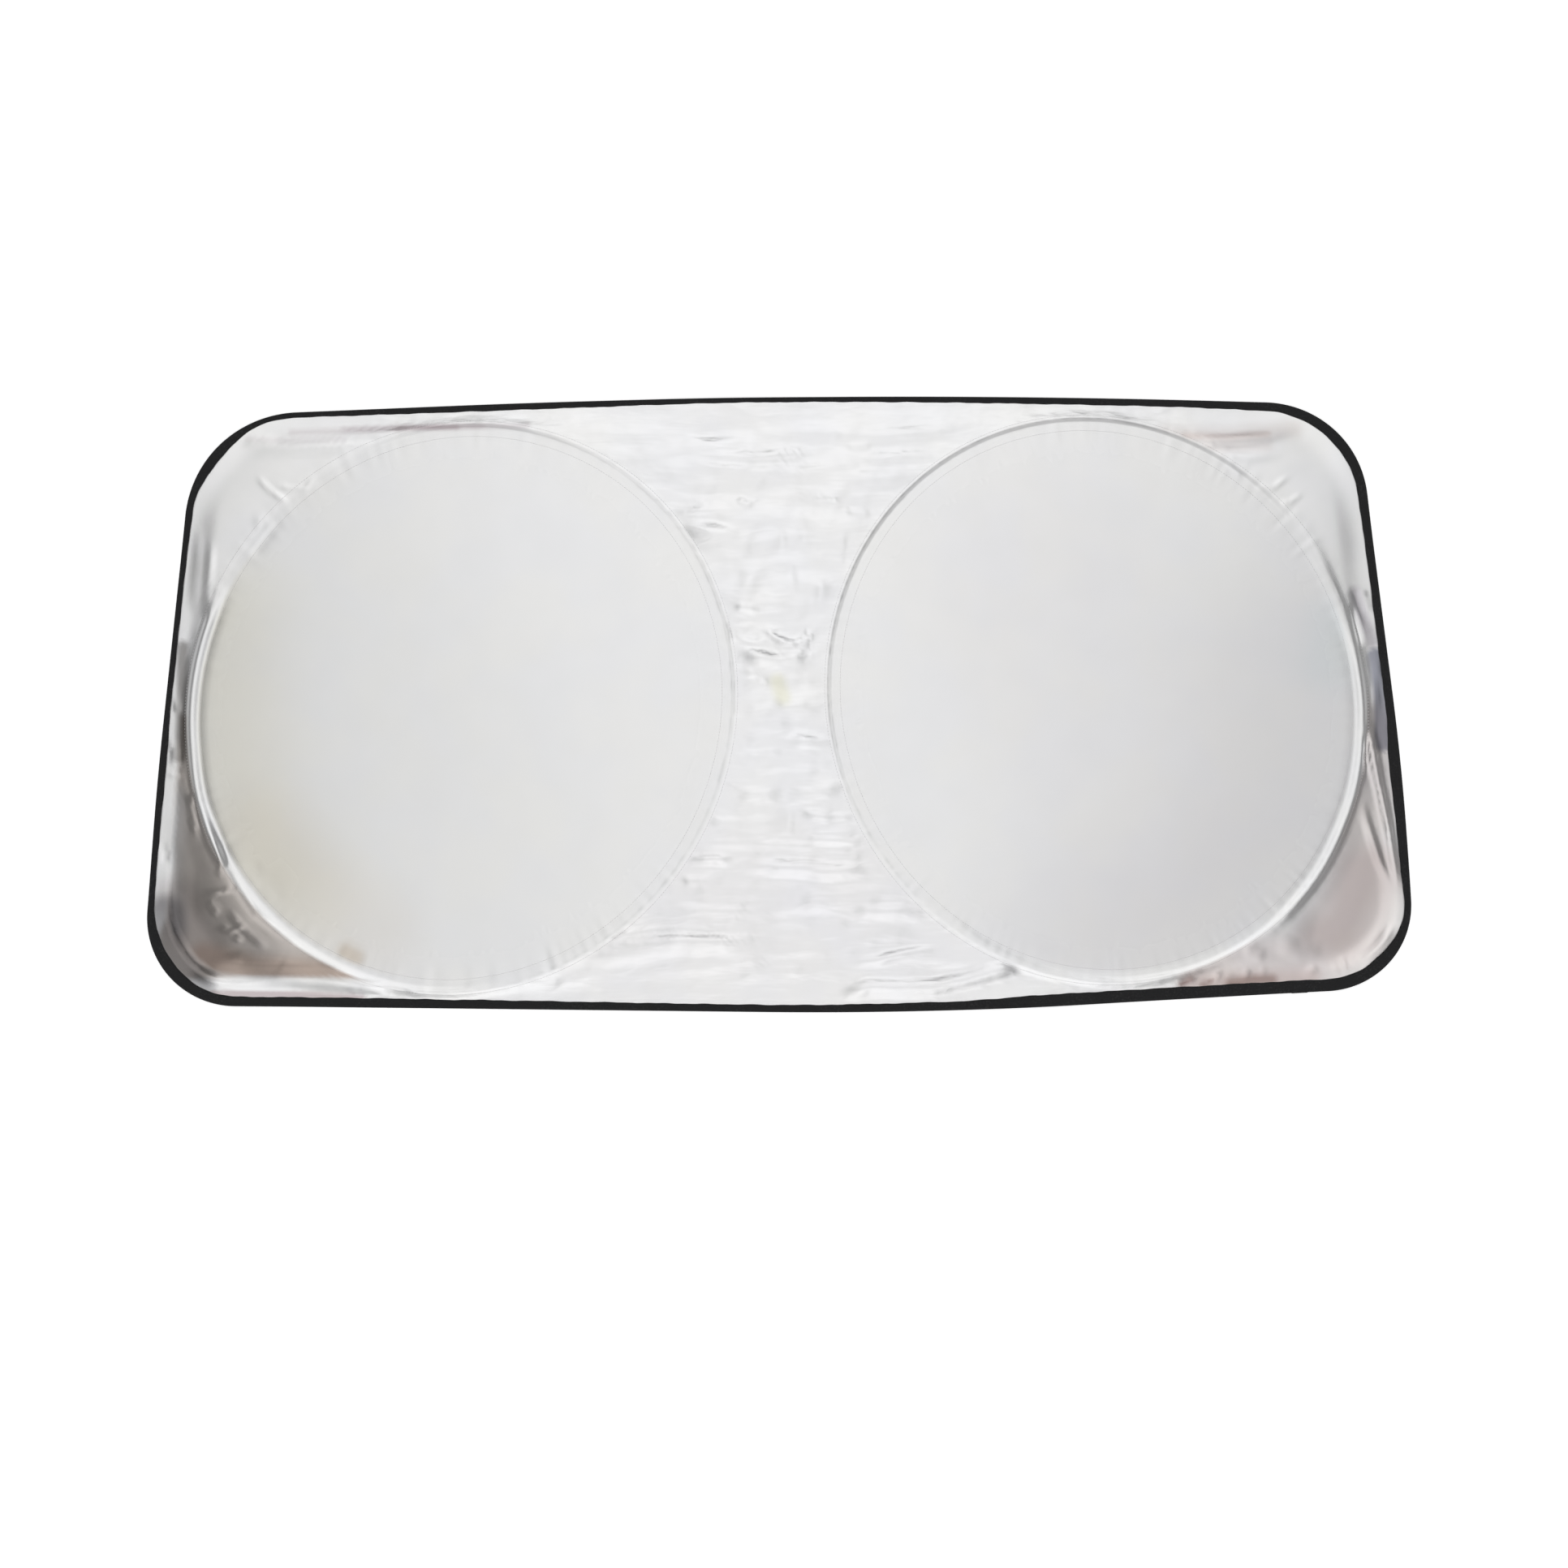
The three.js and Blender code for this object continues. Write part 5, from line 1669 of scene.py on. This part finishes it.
@dataclass(frozen=True)
class WovenTape(Finish):
    """Ribbed woven tape whose ribs follow the piece's own map, in metres along and across it.

    Attributes:
        worn: Colour of the scuffed threads.
        rib: Pitch of the ribs along the tape.
    """

    worn: tuple[float, float, float, float] = (0.05, 0.05, 0.052, 1)
    rib: float = 0.0012

    def build(self, effects: Effects) -> bpy.types.Material:
        """Builds the material."""
        material, make, shader = self.start()
        run = make.add("ShaderNodeUVMap", uv_map="tape").outputs["UV"]
        weave = make.effect(effects.weave, run, {"Pitch U": self.rib, "Pitch V": self.rib * 1.6})
        place = make.add("ShaderNodeTexCoord").outputs["Object"]
        scuff = make.effect(effects.scuff, place, {"Scale": 420.0, "Amount": 0.5})["Mask"]
        dark = make.blend("MIX", weave["Gap"], self.colour, self.darker(0.5))
        make.links.new(make.blend("MIX", scuff, dark, self.worn), shader.inputs["Base Color"])
        make.links.new(make.smooth(scuff, 0, 1, self.roughness, 0.95), shader.inputs["Roughness"])
        make.links.new(make.bump(0.8, 0.00012, weave["Height"]), shader.inputs["Normal"])
        return material


@dataclass(frozen=True)
class BareMetal(Finish):
    """Drawn or rolled metal: fine marks in the gloss and specks of dull wear.

    Attributes:
        dull: Colour of the worn specks.
        marks: Scale of the fine marks.
    """

    dull: tuple[float, float, float, float] = (0.2, 0.19, 0.18, 1)
    marks: float = 900.0

    def build(self, effects: Effects) -> bpy.types.Material:
        """Builds the material."""
        material, make, shader = self.start()
        place = make.add("ShaderNodeTexCoord").outputs["Object"]
        scuff = make.effect(effects.scuff, place, {"Scale": self.marks, "Amount": 0.8})["Mask"]
        make.links.new(make.blend("MIX", scuff, self.colour, self.dull), shader.inputs["Base Color"])
        fine = make.noise(place, self.marks * 1.7, 3.0)
        rough = make.smooth(fine, 0.35, 0.65, self.roughness - 0.06, self.roughness + 0.08)
        rough = make.math("ADD", rough, make.math("MULTIPLY", scuff, 0.2))
        make.links.new(rough, shader.inputs["Roughness"])
        make.links.new(make.bump(0.4, 0.00004, fine), shader.inputs["Normal"])
        return material


@dataclass(frozen=True)
class SpunThread(Finish):
    """Sewing thread with a fine twist of light and dark over its place.

    Attributes:
        twist: Pitch of the twist, in metres.
    """

    twist: float = 0.0006

    def build(self, effects: Effects) -> bpy.types.Material:
        """Builds the material."""
        material, make, shader = self.start()
        place = make.add("ShaderNodeTexCoord").outputs["Object"]
        weave = make.effect(effects.weave, place, {"Pitch U": self.twist, "Pitch V": self.twist})
        colour = make.blend("MIX", weave["Gap"], self.colour, self.darker(0.7))
        make.links.new(colour, shader.inputs["Base Color"])
        make.links.new(make.bump(0.6, 0.00005, weave["Height"]), shader.inputs["Normal"])
        return material


@dataclass
class Studio:
    """The floor, the light all round and the camera.

    A direction's tilt is its part along X or Y over its height. Along each ramp the light goes from
    one level to another as the tilt goes from one value to another, and the levels multiply.

    Attributes:
        camera_height: Height of the camera, in metres.
        sensor_width: Width of the camera's sensor, in millimetres.
        frame_width: Width of ground that the frame takes in, in metres.
        frame_centre: Point of the ground under the camera, in metres.
        floor_reach: Half of the floor's width.
        floor_drop: How far the floor lies under the shade.
        floor_glow: Light that makes the floor white to the camera.
        ramps_x: Tilts along X and levels: the two ends of the bright panel and its fall to them.
        ramps_y: The same along Y: its front, how it brightens to front and back, and its back.
        wall_ramp: Heights and levels of the dim walls below it.
    """

    camera_height: float = 2.6
    sensor_width: float = 36.0
    frame_width: float = 1.8016
    frame_centre: tuple[float, float] = (0.0055, -0.0913)
    floor_reach: float = 8000.0
    floor_drop: float = 0.2
    floor_glow: float = 0.6
    ramps_x: tuple[tuple[float, float, float, float], ...] = (
        (-0.6, -0.34, 0.0, 1.0), (0.34, 0.58, 1.0, 0.0), (-0.34, -0.06, 0.68, 1.0),
        (0.05, 0.33, 1.0, 0.69))
    ramps_y: tuple[tuple[float, float, float, float], ...] = (
        (-2.6, -1.4, 0.0, 1.0), (-0.5, -0.12, 1.74, 1.385), (0.02, 0.2, 1.0, 1.12),
        (0.18, 0.36, 1.0, 1.1), (0.5, 1.1, 1.0, 0.1))
    wall_ramp: tuple[float, float, float, float] = (0.12, 0.7, 1.0, 0.24)

    def build(self) -> None:
        """Makes the floor, the light and the camera."""
        self._floor()
        self._light()
        self._camera()

    def _floor(self) -> None:
        """A wide white floor that keeps the object's shadow."""
        corners = np.array([[-1, -1], [1, -1], [1, 1], [-1, 1]]) * self.floor_reach
        points = np.column_stack([corners, np.full(4, -self.floor_drop)])
        floor = make_object("floor", points, np.array([[0, 1, 2, 3]]), smooth=False)
        material = bpy.data.materials.new("white_floor")
        material.use_nodes = True
        material.node_tree.nodes.clear()
        make = NodeBuilder(material.node_tree)
        path = make.add("ShaderNodeLightPath").outputs
        seen = make.math("MAXIMUM", make.math("MAXIMUM", path["Is Camera Ray"], path["Is Glossy Ray"]),
                         path["Is Transmission Ray"])
        glow = make.add("ShaderNodeEmission", {"Strength": make.math("MULTIPLY", seen, self.floor_glow)})
        diffuse = make.add("ShaderNodeBsdfDiffuse", {"Color": (0.85, 0.85, 0.85, 1)})
        both = make.add("ShaderNodeAddShader", {0: diffuse.outputs[0], 1: glow.outputs[0]})
        make.add("ShaderNodeOutputMaterial", {"Surface": both.outputs[0]})
        floor.data.materials.append(material)

    def _light(self) -> None:
        """A dome of light: a bright panel overhead that reaches towards the bottom edge, dim walls."""
        world = bpy.data.worlds.new("studio_dome")
        bpy.context.scene.world = world
        world.use_nodes = True
        world.node_tree.nodes.clear()
        make = NodeBuilder(world.node_tree)
        towards = make.add("ShaderNodeTexCoord").outputs["Generated"]
        place = make.add("ShaderNodeSeparateXYZ", {0: towards}).outputs
        up = make.math("MAXIMUM", place["Z"], 0.02)
        panel = 1.0
        for axis, ramps in (("X", self.ramps_x), ("Y", self.ramps_y)):
            tilt = make.math("DIVIDE", place[axis], up)
            for ramp in ramps:
                panel = make.math("MULTIPLY", panel, make.smooth(tilt, *ramp))
        level = make.math("MAXIMUM", panel, make.smooth(place["Z"], *self.wall_ramp))
        seen = make.add("ShaderNodeLightPath").outputs["Is Camera Ray"]
        strength = make.add("ShaderNodeMix", {0: seen, 2: level, 3: 1.0}).outputs[0]
        background = make.add("ShaderNodeBackground", {"Strength": strength})
        make.add("ShaderNodeOutputWorld", {"Surface": background.outputs[0]})

    def _camera(self) -> None:
        """A camera straight above, whose frame matches the photograph's."""
        data = bpy.data.cameras.new("camera_above")
        data.sensor_width = self.sensor_width
        data.lens = self.sensor_width * self.camera_height / self.frame_width
        camera = bpy.data.objects.new("camera_above", data)
        camera.location = (*self.frame_centre, self.camera_height)
        bpy.context.scene.collection.objects.link(camera)
        bpy.context.scene.camera = camera
        bpy.context.scene.view_settings.view_transform = "Standard"


def dress_node(name: str, material: bpy.types.Material) -> None:
    """Gives a carried-over node its material in every slot."""
    for slot in bpy.data.objects[name].material_slots:
        slot.material = material


def main() -> None:
    """Builds and dresses the pieces in order, and dresses the nodes that are carried over."""
    logging.basicConfig(level=logging.INFO, format="%(message)s")
    effects = Effects().build()
    outline = Outline()
    shape = ClothShape(outline)
    seams = Seams(outline, shape)

    silver = SilverPanel(outline, shape)
    panel = silver.build()
    silver.dress(panel, effects)
    tape = Binding(outline)
    binding = tape.build()
    tape.dress(binding, effects)
    black_thread = SpunThread("black_thread", (0.02, 0.02, 0.021, 1), 0.6).build(effects)
    grey_thread = SpunThread("silver_thread", (0.74, 0.74, 0.745, 1), 0.35, 0.6).build(effects)
    binding_seam = seams.binding_seam()
    binding_seam.data.materials.append(black_thread)

    dressed = [(panel, "silver_panel", "silver_cloth"), (binding, "edge_binding", "edge_binding"),
               (binding_seam, None, "edge_binding")]
    for hoop in HOOPS:
        seam = seams.hoop_seams(hoop)
        seam.data.materials.append(grey_thread)
        band = CasingTape(hoop)
        casing = band.build()
        band.dress(casing, effects)
        dressed += [(seam, None, "silver_cloth"), (casing, f"{hoop.name}_casing_tape", "casing_tape")]
        steel = BareMetal(f"{hoop.name}_wire_steel", (0.36, 0.36, 0.37, 1), 0.3, 1.0)
        aluminium = BareMetal(f"{hoop.name}_ferrule_aluminium", (0.62, 0.62, 0.63, 1), 0.34, 1.0)
        dress_node(f"{hoop.name}_hoop_wire", steel.build(effects))
        dress_node(f"{hoop.name}_hoop_ferrule", aluminium.build(effects))
    for piece, node, slot in dressed:
        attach(piece, BODY)
        if node:
            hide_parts(node)
        LOG.info("%s: %d triangles", piece.name, sum(len(p.vertices) - 2 for p in piece.data.polygons))
    Studio().build()


if __name__ == "__main__":
    main()
